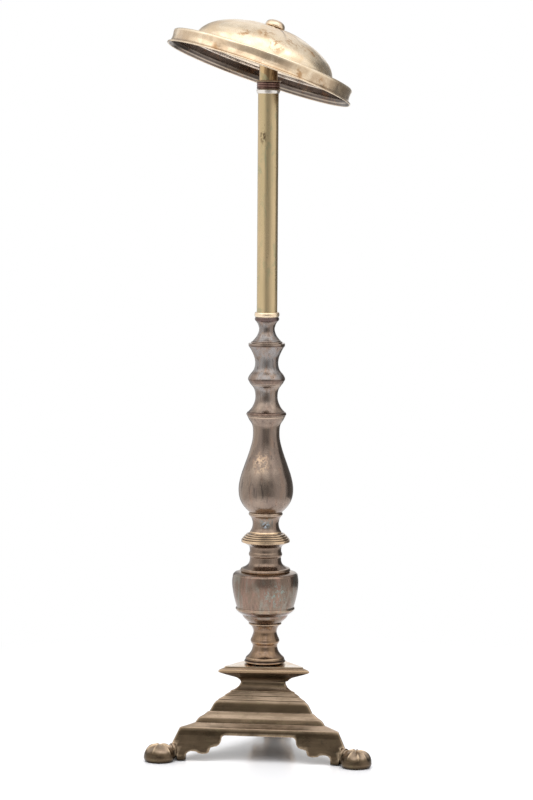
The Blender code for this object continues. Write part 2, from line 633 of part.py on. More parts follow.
def make_fork(pivot, near, far):
    """The fork in the post's top. Its ears stand between near and far on each side of the middle."""
    flange_low = -PIVOT_ABOVE_POST + SEAT_GAP
    flange_top = flange_low + FORK_FLANGE
    spigot = POST_R - POST_WALL - SEAT_GAP
    plug = [(0, flange_low - SPIGOT_LENGTH), (spigot, flange_low - SPIGOT_LENGTH), (spigot, flange_low),
            (POST_R, flange_low), (POST_R, flange_top), (0, flange_top)]
    fork = solid("post_fork", spun(plug), pivot, finish="tube")
    ear = stadium(EAR_R, flange_top - WELD_LAP)
    combine(fork, plate_on_pivot(ear, near, far), "ear_left", "UNION")
    combine(fork, plate_on_pivot(ear, -far, -near), "ear_right", "UNION")
    hole = rod(PIVOT_R + SLIDE_GAP, -far - OVERSHOOT, far + OVERSHOOT)
    combine(fork, spun(hole, ROUND_SIDES, "Y"), "hole", "DIFFERENCE")


def make_bolt(pivot, head_face, nut_face):
    tip = nut_face + WING_HUB + BOLT_TAIL
    end = head_face - BOLT_HEAD
    bolt = [(0, end), (BOLT_HEAD_R, end), (BOLT_HEAD_R, head_face), (PIVOT_R, head_face), (PIVOT_R, tip),
            (0, tip)]
    pin = solid("pivot_bolt", spun(bolt, ROUND_SIDES, "Y"), pivot, finish="iron")
    reach = BOLT_HEAD_R + WELD_LAP
    slot = block((-reach, end - WELD_LAP, -SLOT_WIDTH / 2), (reach, end + SLOT_DEPTH, SLOT_WIDTH / 2))
    combine(pin, slot, "slot", "DIFFERENCE")


def make_wing_nut(pivot, face):
    hole = PIVOT_R + SLIDE_GAP
    root = WING_HUB_R - WELD_LAP
    end = WING_SPAN / 2
    wing = [(-root, face + WELD_LAP), (-end, face + WING_HUB), (-end + WING_SLOPE, face + WING_HEIGHT),
            (-end + WING_SLOPE + WING_TIP, face + WING_HEIGHT), (-root, face + WING_HUB - WELD_LAP)]
    wings = wing + [(-x, y) for x, y in reversed(wing)]
    nut = solid("wing_nut", spun(ring(hole, WING_HUB_R, face, face + WING_HUB), ROUND_SIDES, "Y"), pivot,
                finish="tube")
    combine(nut, prism(wings, -WING_THICKNESS / 2, WING_THICKNESS / 2), "wings", "UNION")
    bore = rod(hole, face - OVERSHOOT, face + WING_HEIGHT + OVERSHOOT)
    combine(nut, spun(bore, ROUND_SIDES, "Y"), "hole", "DIFFERENCE")


def make_knuckle(pivot):
    """The fork, bolt and wing nut, in the frame of the pivot, whose local Y is the hinge's axis."""
    near = TONGUE_THICKNESS / 2 + SLIDE_GAP
    far = near + EAR_THICKNESS
    make_fork(pivot, near, far)
    make_bolt(pivot, -far - SEAT_GAP, far + SEAT_GAP)
    make_wing_nut(pivot, far + SEAT_GAP)


# ---------------------------------------------------------------- the head
def make_tongue(head):
    saddle_top = CROWN_ABOVE_PIVOT - SEAT_GAP
    saddle_low = saddle_top - SADDLE_THICKNESS
    stud_top = CROWN_ABOVE_PIVOT + CAP_SHEET + SEAT_GAP + STUD_IN_KNOB
    turned = [(0, saddle_low), (SADDLE_R, saddle_low), (SADDLE_R, saddle_top), (STUD_R, saddle_top),
              (STUD_R, stud_top), (0, stud_top)]
    tongue = solid("head_tongue", spun(turned), head, finish="tube")
    half = TONGUE_THICKNESS / 2
    blade = [(x, -y) for x, y in stadium(TONGUE_R, -saddle_low - WELD_LAP)]
    combine(tongue, plate_on_pivot(blade, -half, half), "blade", "UNION")
    hole = rod(PIVOT_R + SLIDE_GAP, -half - OVERSHOOT, half + OVERSHOOT)
    combine(tongue, spun(hole, ROUND_SIDES, "Y"), "hole", "DIFFERENCE")


def dome_outline(width, height, flat, low, steps=7):
    """The dome's side from its foot up to the flat crown, as part of an ellipse."""
    finish = radians(90) - asin(flat / width)
    return [(width * cos(finish * i / steps), low + height * sin(finish * i / steps)) for i in range(steps + 1)]


def make_cap(head):
    rim = -RIM_BELOW_PIVOT
    ledge = rim + CAP_BAND_HEIGHT
    crown = ledge + DOME_HEIGHT
    waist = CAP_BAND_R - CAP_BAND_WAIST
    shoulder = CAP_EDGE_ROUND
    outer = [(CAP_LIP_R, rim), (CAP_LIP_R - CAP_LIP_BEAD / 2, rim + CAP_LIP_BEAD),
             (CAP_BAND_R, rim + CAP_LIP_HEIGHT), (waist, rim + CAP_BAND_HEIGHT / 2),
             (CAP_BAND_R, ledge - shoulder), (CAP_BAND_R - 0.5 * shoulder, ledge - 0.3 * shoulder),
             (CAP_BAND_R - shoulder, ledge), (DOME_R + DOME_FILLET, ledge),
             (DOME_R + 0.2 * DOME_FILLET, ledge + 0.6 * DOME_FILLET)]
    dome = dome_outline(DOME_R, DOME_HEIGHT, CROWN_FLAT_R, ledge)[1:]
    hole = STUD_R + SEAT_GAP
    sheet = CAP_SHEET
    under = crown - sheet
    inner = [(CAP_LIP_R - sheet, rim), (CAP_BAND_R - sheet, rim + CAP_LIP_HEIGHT),
             (waist - sheet, rim + CAP_BAND_HEIGHT / 2), (CAP_BAND_R - sheet, ledge - shoulder),
             (CAP_BAND_R - shoulder, ledge - sheet), (DOME_R + DOME_FILLET / 2, ledge - sheet)]
    inner_dome = dome_outline(DOME_R - sheet, DOME_HEIGHT - sheet, CROWN_FLAT_R, ledge)[1:-1]
    outline = outer + dome[:-1] + [(CROWN_FLAT_R, crown), (hole, crown), (hole, under), (CROWN_FLAT_R, under)]
    outline += inner_dome[::-1] + inner[::-1]
    solid("dome_cap", spun(outline, CAP_SIDES), head, finish="polished")


def make_knob(head, steps=5):
    low = CROWN_ABOVE_PIVOT + CAP_SHEET + SEAT_GAP
    hole = STUD_R + SEAT_GAP
    depth = STUD_IN_KNOB + SEAT_GAP
    outline = [(0, low + depth), (hole, low + depth), (hole, low), (KNOB_R - KNOB_EDGE, low),
               (KNOB_R, low + KNOB_EDGE)]
    for step in range(steps):
        angle = radians(90) * step / steps
        outline.append((KNOB_R * cos(angle), low + KNOB_RIM + (KNOB_HEIGHT - KNOB_RIM) * sin(angle)))
    solid("knob_nut", spun(outline + [(0, low + KNOB_HEIGHT)]), head, finish="polished")


# ---------------------------------------------------------------- put it together
def main():
    clear_scene()
    column = empty("column_axis", (0, COLUMN_Y, 0))
    make_base(column)
    make_feet(column)
    column_seat = make_plate(column)
    tube_seat = make_column(column, column_seat)
    make_tie(column, tube_seat)
    collar_top = make_tube(column, tube_seat)
    post_top = collar_top + POST_ABOVE_COLLAR
    make_post(column, post_top)
    facing = Matrix.Rotation(HEAD_BEARING, 3, "Z")
    pivot_place = (0, 0, post_top + PIVOT_ABOVE_POST)
    pivot = empty("head_pivot", pivot_place, column, facing.to_quaternion())
    make_knuckle(pivot)
    head = empty("head_lean", (0, 0, 0), pivot, Matrix.Rotation(HEAD_TILT, 3, "Y").to_quaternion())
    make_tongue(head)
    make_cap(head)
    make_knob(head)
    bpy.context.view_layer.update()
    print("column at y", round(COLUMN_Y, 5), "tube seat", round(tube_seat, 5),
          "collar top", round(collar_top, 5), "pivot", round(pivot_place[2], 5))


main()
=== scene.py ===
# %% [markdown]
# # A brass shop display stand
#
# This lesson dresses a ready-made frame: a counter stand with a tilting domed cap, a sliding post, a turned column
# and a cast three-sided base. The frame holds every size, place and joint, so each piece here is built round it.
# The camera, the room, the table and the lamp come first. Then one piece after another is made, each in the way
# that a brass founder, a turner or a spinner would have made it.

# %% Load the frame
import json
from math import acos, atan2, ceil, cos, exp, hypot, pi, radians, sin, tan

import bmesh
import bpy
from mathutils import Matrix, Vector, noise


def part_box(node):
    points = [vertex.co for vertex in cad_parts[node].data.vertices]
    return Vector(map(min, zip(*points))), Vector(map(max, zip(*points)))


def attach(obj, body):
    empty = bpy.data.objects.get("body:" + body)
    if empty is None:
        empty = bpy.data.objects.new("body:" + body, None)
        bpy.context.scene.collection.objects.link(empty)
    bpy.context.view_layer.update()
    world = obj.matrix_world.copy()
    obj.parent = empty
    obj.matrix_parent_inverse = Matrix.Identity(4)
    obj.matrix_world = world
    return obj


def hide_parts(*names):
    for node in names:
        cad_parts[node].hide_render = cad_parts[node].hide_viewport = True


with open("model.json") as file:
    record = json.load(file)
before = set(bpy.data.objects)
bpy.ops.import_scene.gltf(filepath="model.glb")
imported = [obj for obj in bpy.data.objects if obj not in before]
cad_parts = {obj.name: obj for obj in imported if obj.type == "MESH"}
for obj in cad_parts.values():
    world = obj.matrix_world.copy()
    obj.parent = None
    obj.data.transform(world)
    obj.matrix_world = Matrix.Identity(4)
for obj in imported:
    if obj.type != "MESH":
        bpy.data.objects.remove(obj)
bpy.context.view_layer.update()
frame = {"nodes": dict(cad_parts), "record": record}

MM = 0.001
tube_low, tube_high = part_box("outer_tube")
column = Vector(((tube_low.x + tube_high.x) / 2, (tube_low.y + tube_high.y) / 2, 0))
print("column stands at", [round(v, 4) for v in column], "and the frame holds", len(frame["nodes"]), "nodes")

# %% [markdown]
# The cap leans on a hinge. Its own frame has Y along the hinge and Z along the cap's axis, so a spun cap can be
# drawn upright and then leaned in one step. Both directions are in the record: the hinge in the joint, and the cap's
# axis in the flat ledge that it offers to whatever is laid on it.

# %% The cap's own frame
record = frame["record"]
tilt = next(joint for joint in record["behaviour"]["joints"] if joint["name"] == "head_tilt")
ledge_mount = next(mount for mount in record["mounts"] if mount["name"] == "cap_ledge")
pivot = Vector(tilt["pos_m"])
hinge = Vector(tilt["axis"]).normalized()
cap_up = Vector(ledge_mount["axis"]).normalized()
cap_side = hinge.cross(cap_up)
HEAD = Matrix((cap_side, hinge, cap_up)).transposed().to_4x4()
HEAD.translation = pivot
LEDGE_Z = (Vector(ledge_mount["pos_m"]) - pivot).dot(cap_up)
print("cap leans", round(cap_up.angle((0, 0, 1)) * 180 / pi, 1), "degrees, ledge at", round(LEDGE_Z / MM, 1), "mm")

# %% [markdown]
# ## Camera, table and light
#
# A tall object is drawn from a distance with a long lens, which keeps its sides straight. The camera is a little
# above the cap's rim and looks slightly down, so the cap shows its underside and the base shows its steps.

# %% Camera
def add_object(name, data):
    made = bpy.data.objects.new(name, data)
    bpy.context.scene.collection.objects.link(made)
    return made


CAMERA_TURN = radians(7.0)
CAMERA_AWAY = 2.950
CAMERA_HEIGHT = 0.626
CAMERA_DOWN = radians(5.7)
CAMERA_ROLL = radians(0.36)
CAMERA_FRAME = 24.0
CAMERA_LENS = 96.0
eye = add_object("camera", bpy.data.cameras.new("camera"))
eye.data.sensor_fit = "VERTICAL"
eye.data.sensor_height = CAMERA_FRAME
eye.data.lens = CAMERA_LENS
eye.data.clip_start = 0.05
place = column + Vector((sin(CAMERA_TURN), -cos(CAMERA_TURN), 0)) * CAMERA_AWAY + Vector((0, 0, CAMERA_HEIGHT))
facing = Matrix.Rotation(CAMERA_TURN, 4, "Z") @ Matrix.Rotation(pi / 2 - CAMERA_DOWN, 4, "X")
eye.matrix_world = Matrix.Translation(place) @ facing @ Matrix.Rotation(CAMERA_ROLL, 4, "Z")
bpy.context.scene.camera = eye
bpy.context.scene.view_settings.view_transform = "Standard"
print("camera at", [round(v, 3) for v in place])

# %% [markdown]
# Polished metal has hardly any colour of its own to show: it shows the room. So the room is drawn with care. It is a
# white sweep with a soft box on the left, a smaller one on the right, a white ceiling, and darkness in front, where
# the camera stands, and in the two gaps behind the boxes. Turned brass then gets its dark middle and bright sides.
# Rays that go straight to the camera see plain white instead.

# %% A node helper
def plug(tree, socket, value):
    """Set a socket to a constant, or link it when the value comes from another node."""
    if isinstance(value, bpy.types.NodeSocket):
        tree.links.new(value, socket)
    else:
        socket.default_value = value


def node(tree, kind, settings=None, **inputs):
    """A new node with its settings and inputs. An input is named, with _ for a space, or numbered as i0, i1..."""
    made = tree.nodes.new(kind)
    for key, value in (settings or {}).items():
        setattr(made, key, value)
    for key, value in inputs.items():
        index = int(key[1:]) if key[0] == "i" and key[1:].isdigit() else key.replace("_", " ")
        plug(tree, made.inputs[index], value)
    return made


def maths(tree, operation, a, b=0.0, clamp=False):
    made = node(tree, "ShaderNodeMath", {"operation": operation, "use_clamp": clamp}, i0=a, i1=b)
    return made.outputs[0]


def mixed(tree, share, a, b):
    """A colour between two others."""
    return node(tree, "ShaderNodeMix", {"data_type": "RGBA"}, Factor=share, i6=a, i7=b).outputs[2]


def remap(tree, value, low, high, to_low=0.0, to_high=1.0):
    """Ease a value from one range into another, and hold it at the ends."""
    made = node(tree, "ShaderNodeMapRange", {"interpolation_type": "SMOOTHSTEP"}, Value=value, From_Min=low,
                From_Max=high, To_Min=to_low, To_Max=to_high)
    return made.outputs[0]


# %% The room
ROOM = (
    (-180, 1.0), (-172, 1.0), (-166, 0.35), (-150, 0.35), (-142, 1.0), (-38, 1.05), (-26, 0.74), (-10, 0.45),
    (20, 0.45), (36, 0.66), (56, 1.0), (104, 1.0), (110, 0.20), (166, 0.20), (174, 1.0), (180, 1.0),
)
OVERHEAD = 1.9
OVERHEAD_FROM = (-0.10, 0.40)
CEILING_FROM = (0.30, 0.62)
PANELS = (0.40, 0.60, 0.76, 1.06)
world = bpy.data.worlds.new("room")
bpy.context.scene.world = world
world.use_nodes = True
tree = world.node_tree
tree.nodes.clear()
look = tree.nodes.new("ShaderNodeTexCoord").outputs["Generated"]
axes = node(tree, "ShaderNodeSeparateXYZ", i0=look)
bearing = maths(tree, "ARCTAN2", axes.outputs["X"], maths(tree, "MULTIPLY", axes.outputs["Y"], -1.0))
turn = maths(tree, "ADD", maths(tree, "DIVIDE", bearing, 2 * pi), 0.5)
ramp = node(tree, "ShaderNodeValToRGB", Fac=turn)
ramp.color_ramp.interpolation = "EASE"
stops = ramp.color_ramp.elements
for index, (degrees, _) in enumerate(ROOM):
    stop = stops[index] if index < 2 else stops.new(degrees / 360 + 0.5)
    stop.position = degrees / 360 + 0.5
for stop, (_, glow) in zip(sorted(stops, key=lambda s: s.position), ROOM):
    stop.color = (glow, glow, glow, 1)
over = remap(tree, axes.outputs["Y"], *OVERHEAD_FROM, OVERHEAD, 1.0)
panels = node(tree, "ShaderNodeTexNoise", Vector=look, Scale=2.6, Detail=1.0).outputs[0]
above = maths(tree, "MULTIPLY", over, remap(tree, panels, *PANELS))
ceiling = remap(tree, axes.outputs["Z"], *CEILING_FROM)
room = mixed(tree, ceiling, ramp.outputs["Color"], above)
straight = tree.nodes.new("ShaderNodeLightPath").outputs["Is Camera Ray"]
seen = mixed(tree, straight, room, (1, 1, 1, 1))
glow = node(tree, "ShaderNodeBackground", Color=seen, Strength=1.0)
tree.links.new(glow.outputs[0], tree.nodes.new("ShaderNodeOutputWorld").inputs[0])
print("room drawn from", len(ROOM), "stops round the horizon")


# %% The table
TABLE_R = 0.72
TABLE_CLEAR = (0.26, 0.62)
TABLE_GAP = -0.1 * MM
table_mesh = bmesh.new()
bmesh.ops.create_circle(table_mesh, cap_ends=True, segments=96, radius=TABLE_R)
data = bpy.data.meshes.new("table")
table_mesh.to_mesh(data)
table_mesh.free()
table = add_object("table", data)
table_top = bpy.data.materials.new("white_table")
table_top.use_nodes = True
tree = table_top.node_tree
gloss = tree.nodes["Principled BSDF"]
gloss.inputs["Base Color"].default_value = (0.93, 0.93, 0.95, 1)
gloss.inputs["Roughness"].default_value = 0.22
spot = tree.nodes.new("ShaderNodeTexCoord").outputs["Object"]
away = node(tree, "ShaderNodeVectorMath", {"operation": "LENGTH"}, i0=spot).outputs["Value"]
fade = remap(tree, away, *TABLE_CLEAR)
white = node(tree, "ShaderNodeEmission", Color=(1, 1, 1, 1), Strength=1.0)
both = node(tree, "ShaderNodeMixShader", i0=fade, i1=gloss.outputs[0], i2=white.outputs[0])
tree.links.new(both.outputs[0], tree.nodes["Material Output"].inputs["Surface"])
data.materials.append(table_top)
table.location.z = TABLE_GAP
print("table is", 2 * TABLE_R, "m across")


# %% Soft lamp
LAMP_PLACE = Vector((-0.15, -0.35, 2.1))
LAMP_AIM = Vector((0, 0, 0.1))
LAMP_SIZE = (1.6, 1.3)
LAMP_WATTS = 17.0
light = bpy.data.lights.new("ceiling_box", "AREA")
light.shape = "RECTANGLE"
light.size, light.size_y = LAMP_SIZE
light.energy = LAMP_WATTS
lamp = add_object("ceiling_box", light)
lamp.location = LAMP_PLACE
lamp.rotation_euler = (LAMP_AIM - LAMP_PLACE).to_track_quat("-Z", "Y").to_euler()
lamp.visible_glossy = False
print("one ceiling box over the table")

# %% [markdown]
# ## Turning
#
# A turned piece is one outline swept round the axis. The outline is kept as rows of (radius, height) in millimetres:
# within a row the tool moved in one smooth sweep, and between rows it left a crisp corner. A real corner is never
# quite sharp, so each one is cut back a fraction of a millimetre, which gives it the thin highlight that metal has.

# %% Outlines
SMOOTH_STEP = 1.0 * MM
EDGE_EASE = 0.28 * MM
SIDES = 96


def smooth_row(keys):
    """Points on a Catmull-Rom curve through the keys, about a step apart."""
    keys = [Vector(key) * MM for key in keys]
    if len(keys) == 2:
        return keys
    points = [keys[0]]
    for i in range(len(keys) - 1):
        before, after = keys[max(i - 1, 0)], keys[min(i + 2, len(keys) - 1)]
        a, b = keys[i], keys[i + 1]
        steps = max(2, ceil((b - a).length / SMOOTH_STEP))
        for step in range(1, steps + 1):
            t = step / steps
            points.append(a * (2 * t ** 3 - 3 * t ** 2 + 1) + (b - before) / 2 * (t ** 3 - 2 * t ** 2 + t)
                          + b * (3 * t ** 2 - 2 * t ** 3) + (after - a) / 2 * (t ** 3 - t ** 2))
    return points


def eased(points, cut=EDGE_EASE):
    """The same outline with each corner rounded off."""
    points = [p for p, after in zip(points, points[1:]) if (after - p).length > 1e-7] + [points[-1]]
    kept = [points[0]]
    for a, p, b in zip(points, points[1:], points[2:]):
        into, away = p - a, b - p
        if min(into.length, away.length) < 1e-6 or into.angle(away) < radians(18):
            kept.append(p)
            continue
        reach = min(cut, 0.45 * into.length, 0.45 * away.length)
        start, end = p - into.normalized() * reach, p + away.normalized() * reach
        kept += [start.lerp(p, t).lerp(p.lerp(end, t), t) for t in (0, 1 / 3, 2 / 3, 1)]
    return kept + [points[-1]]


def outside_of(rows, cut=EDGE_EASE):
    return eased([p for row in rows for p in smooth_row(row)], cut)


def outline_of(rows, bore):
    """Rows joined into one closed section with a plain bore."""
    outer = [Vector(p) for row in rows for p in smooth_row(row)]
    if bore > 0 or outer[0].x > 1e-6:
        outer = [Vector((bore, outer[0].y))] + outer + [Vector((bore, outer[-1].y))]
    return eased(outer)


# %% Sweep an outline round the axis
def sweep(outline, sides=SIDES, inside_from=None):
    """A closed skin of revolution. Faces from the given outline point onwards get the inside finish."""
    mesh = bmesh.new()
    rings = []
    for radius, height in outline:
        count = 1 if radius < 1e-6 else sides
        rings.append([mesh.verts.new((radius * cos(2 * pi * k / sides), radius * sin(2 * pi * k / sides), height))
                      for k in range(count)])
    closed = len(rings[0]) > 1
    for index, (low, high) in enumerate(zip(rings, rings[1:] + (rings[:1] if closed else []))):
        for k in range(sides):
            ends = (low[k % len(low)], low[(k + 1) % len(low)], high[(k + 1) % len(high)], high[k % len(high)])
            corners = list(dict.fromkeys(ends))
            if len(corners) > 2:
                mesh.faces.new(corners).material_index = int(inside_from is not None and index >= inside_from)
    bmesh.ops.recalc_face_normals(mesh, faces=mesh.faces)
    return mesh


# %% [markdown]
# Age shows first where metal is touched and where it isn't. Raised edges are rubbed bright, and the same value also
# paints the thin highlight that an edge catches. Inside corners hold dirt, and the same value also paints the shade
# that gathers there. Both can be measured from the shape: the angle at each edge says how far it stands out, and the
# value fades along the surface from there. The two numbers are stored on the mesh, where the finishes read them.

# %% Measure wear with its painted edge highlight, and dirt with its painted corner shade, from the shape
WEAR_AND_GLINT_REACH = 1.3 * MM
DIRT_AND_SHADE_REACH = 2.2 * MM
FLATTEST = radians(9)
SHARPEST = radians(42)


def spread(mesh, start, reach, passes=5):
    """Let each vertex's value run along the edges, fading to nothing over the reach."""
    value = list(start)
    for _ in range(passes):
        for edge in mesh.edges:
            a, b = edge.verts[0].index, edge.verts[1].index
            loss = edge.calc_length() / reach
            value[a] = max(value[a], value[b] - loss)
            value[b] = max(value[b], value[a] - loss)
    return [max(v, 0.0) for v in value]


def mark_age(piece):
    mesh = bmesh.new()
    mesh.from_mesh(piece.data)
    mesh.verts.ensure_lookup_table()
    proud, deep = [0.0] * len(mesh.verts), [0.0] * len(mesh.verts)
    for edge in mesh.edges:
        if len(edge.link_faces) != 2:
            continue
        bend = edge.calc_face_angle_signed(0.0)
        share = min(max((abs(bend) - FLATTEST) / (SHARPEST - FLATTEST), 0.0), 1.0)
        values = proud if bend > 0 else deep
        for vertex in edge.verts:
            values[vertex.index] = max(values[vertex.index], share)
    # Wear with a painted edge highlight from raised edges, and dirt with painted shade from inside corners.
    for name, values in (("wear_and_glint", spread(mesh, proud, WEAR_AND_GLINT_REACH)), ("dirt_and_shade", spread(mesh, deep, DIRT_AND_SHADE_REACH))):
        layer = piece.data.attributes.new(name, "FLOAT", "POINT")
        layer.data.foreach_set("value", values)
    mesh.free()


def ripple(mesh, amount, size, seed=0):
    """Push a surface in and out by a hair, as hand work does."""
    mesh.normal_update()
    for vertex in mesh.verts:
        vertex.co += vertex.normal * amount * noise.noise(vertex.co / size + Vector((seed, 0, 0)))


def finish_piece(name, mesh, body, material, replaced, place=None, inside=None, sharp=42):
    """Make an object of the mesh, at the column or in the cap's frame, and tie it to the frame."""
    place = place if place is not None else Matrix.Translation(column)
    mesh.transform(place.to_3x3().to_4x4())
    data = bpy.data.meshes.new(name)
    mesh.to_mesh(data)
    mesh.free()
    data.shade_smooth()
    data.set_sharp_from_angle(angle=radians(sharp))
    data.materials.append(material)
    if inside:
        data.materials.append(inside)
    piece = add_object(name, data)
    piece.location = place.translation
    bpy.context.view_layer.update()
    mark_age(piece)
    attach(piece, body)
    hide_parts(*replaced)
    return piece


print("turning tools ready")

# %% [markdown]
# ## Finishes
#
# Each finish is one metal shader fed by layers, from the bottom up: broad clouds of tarnish, streaks or turning
# marks, dirt with painted shade in the hollows and bright wear with a painted highlight on the edges, with a few
# marks between them that belong to one place. The layers work in the piece's own coordinates, so they stay on the
# metal when a joint moves.

# %% Layers for metal
class Metal:
    """A metal material that is built up in layers of colour, roughness and bump."""

    def __init__(self, name, colour, roughness, metallic=1.0):
        self.made = bpy.data.materials.new(name)
        self.made.use_nodes = True
        self.tree = self.made.node_tree
        self.shader = self.tree.nodes["Principled BSDF"]
        self.shader.inputs["Metallic"].default_value = metallic
        self.place = self.tree.nodes.new("ShaderNodeTexCoord").outputs["Object"]
        self.colour, self.roughness, self.height = (*colour, 1.0), roughness, None

    def noise(self, size, detail=4.0, stretch=(1, 1, 1), twist=0.0, shift=0.0):
        """Noise with lumps of this size in millimetres, drawn out along an axis by the stretch."""
        scale = [1 / (size * MM * s) for s in stretch]
        moved = node(self.tree, "ShaderNodeMapping", Vector=self.place, Scale=scale,
                     Location=(shift, shift * 0.7, shift * 0.4)).outputs[0]
        return node(self.tree, "ShaderNodeTexNoise", Vector=moved, Scale=1.0, Detail=detail, Roughness=0.62,
                    Distortion=twist).outputs[0]

    def grade(self, value, low, high, to_low=0.0, to_high=1.0):
        return remap(self.tree, value, low, high, to_low, to_high)

    def patches(self, size, detail, low, high, most=1.0, least=0.0, **how):
        """Cloudy patches: the least where a noise is under its low value, the most where it is over its high one."""
        return self.grade(self.noise(size, detail, **how), low, high, least, most)

    def around(self, value, middle, core, reach, most=1.0, least=0.0):
        """The most from a middle value out to the core distance, and the least beyond the reach."""
        away = maths(self.tree, "ABSOLUTE", maths(self.tree, "SUBTRACT", value, middle))
        return self.grade(away, core, reach, most, least)

    def times(self, a, b):
        return maths(self.tree, "MULTIPLY", a, b, True)

    def either(self, a, b):
        return maths(self.tree, "MAXIMUM", a, b)

    def mark(self, name):
        """The wear with its painted edge highlight, or the dirt with its painted corner shade, that was measured on
        the mesh.
        """
        return node(self.tree, "ShaderNodeAttribute", {"attribute_name": name}).outputs["Fac"]

    def vector(self, operation, **inputs):
        return node(self.tree, "ShaderNodeVectorMath", {"operation": operation}, **inputs).outputs

    def near(self, centre, radius, squash=(1, 1, 1)):
        """1 at a point of the piece, fading to 0 at the radius, with the axes squashed."""
        shifted = self.vector("SUBTRACT", i0=self.place, i1=centre)[0]
        scaled = self.vector("MULTIPLY", i0=shifted, i1=squash)[0]
        return self.grade(self.vector("LENGTH", i0=scaled)["Value"], radius * 0.25, radius, 1.0, 0.0)

    def axis(self, letter):
        return node(self.tree, "ShaderNodeSeparateXYZ", i0=self.place).outputs[letter]

    def along(self, direction):
        """How far a point of the piece lies along a direction."""
        return self.vector("DOT_PRODUCT", i0=self.place, i1=direction)["Value"]

    def tint(self, share, colour, most=1.0, rough=None):
        """Lay a colour, and a roughness if one is given, over what is there, by a share from 0 to 1."""
        if rough is not None:
            self.roughen(share, rough)
        share = share if most == 1.0 else self.times(share, most)
        self.colour = mixed(self.tree, share, self.colour, (*colour, 1.0))

    def roughen(self, share, roughness, most=1.0):
        share = share if most == 1.0 else self.times(share, most)
        made = node(self.tree, "ShaderNodeMix", {"data_type": "FLOAT"}, Factor=share, i2=self.roughness, i3=roughness)
        self.roughness = made.outputs[0]

    def bump(self, value, depth):
        """Add relief: the value from 0 to 1 stands for this depth in millimetres."""
        scaled = maths(self.tree, "MULTIPLY", value, depth * MM)
        self.height = scaled if self.height is None else maths(self.tree, "ADD", self.height, scaled)

    def done(self):
        plug(self.tree, self.shader.inputs["Base Color"], self.colour)
        plug(self.tree, self.shader.inputs["Roughness"], self.roughness)
        if self.height is not None:
            relief = node(self.tree, "ShaderNodeBump", Height=self.height, Strength=1.0, Distance=1.0)
            self.tree.links.new(relief.outputs[0], self.shader.inputs["Normal"])
        return self.made


# %% [markdown]
# The turned column has a dark brown skin, nearly chocolate, that has gone thin where hands and cloths reach it. Its
# raised edges are rubbed bright and carry a painted highlight, gold on the lower rims, and its inside corners hold
# dirt with painted shade. The lathe left fine rings, and years of polish run down it in streaks. Three marks are its
# own: a rubbed gold patch on the baluster, a pale bloom on the spool below it, and green verdigris on the vase.

# %% Dark brass for the column
BALUSTER_RUB = (-0.0025, -0.0239, 0.2755)
SPOOL_BLOOM = (0.0011, -0.0119, 0.2161)
BLOOM_HALO = (SPOOL_BLOOM[0], SPOOL_BLOOM[1], SPOOL_BLOOM[2] + 0.003)
VASE_GREEN = (0.0129, -0.0271, 0.1530)
VASE_MIDDLE = 0.1500
UPPER_HALF = 0.345
LOWER_HALF = 0.235
FOOT_WARM_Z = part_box("foot_spool")[1].z
TOP_LIP_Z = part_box("top_spool")[1].z - 0.0040
BROWN_RINGS = (
    ("top_spool", 0.7, 1.3), ("upper_spool", 36.8, 1.9), ("upper_spool", 2.9, 2.6), ("middle_spool", 2.3, 2.0),
    ("neck_knop", 30.9, 1.3), ("foot_spool", 2.6, 1.6), ("vase", 9.6, 2.0),
)


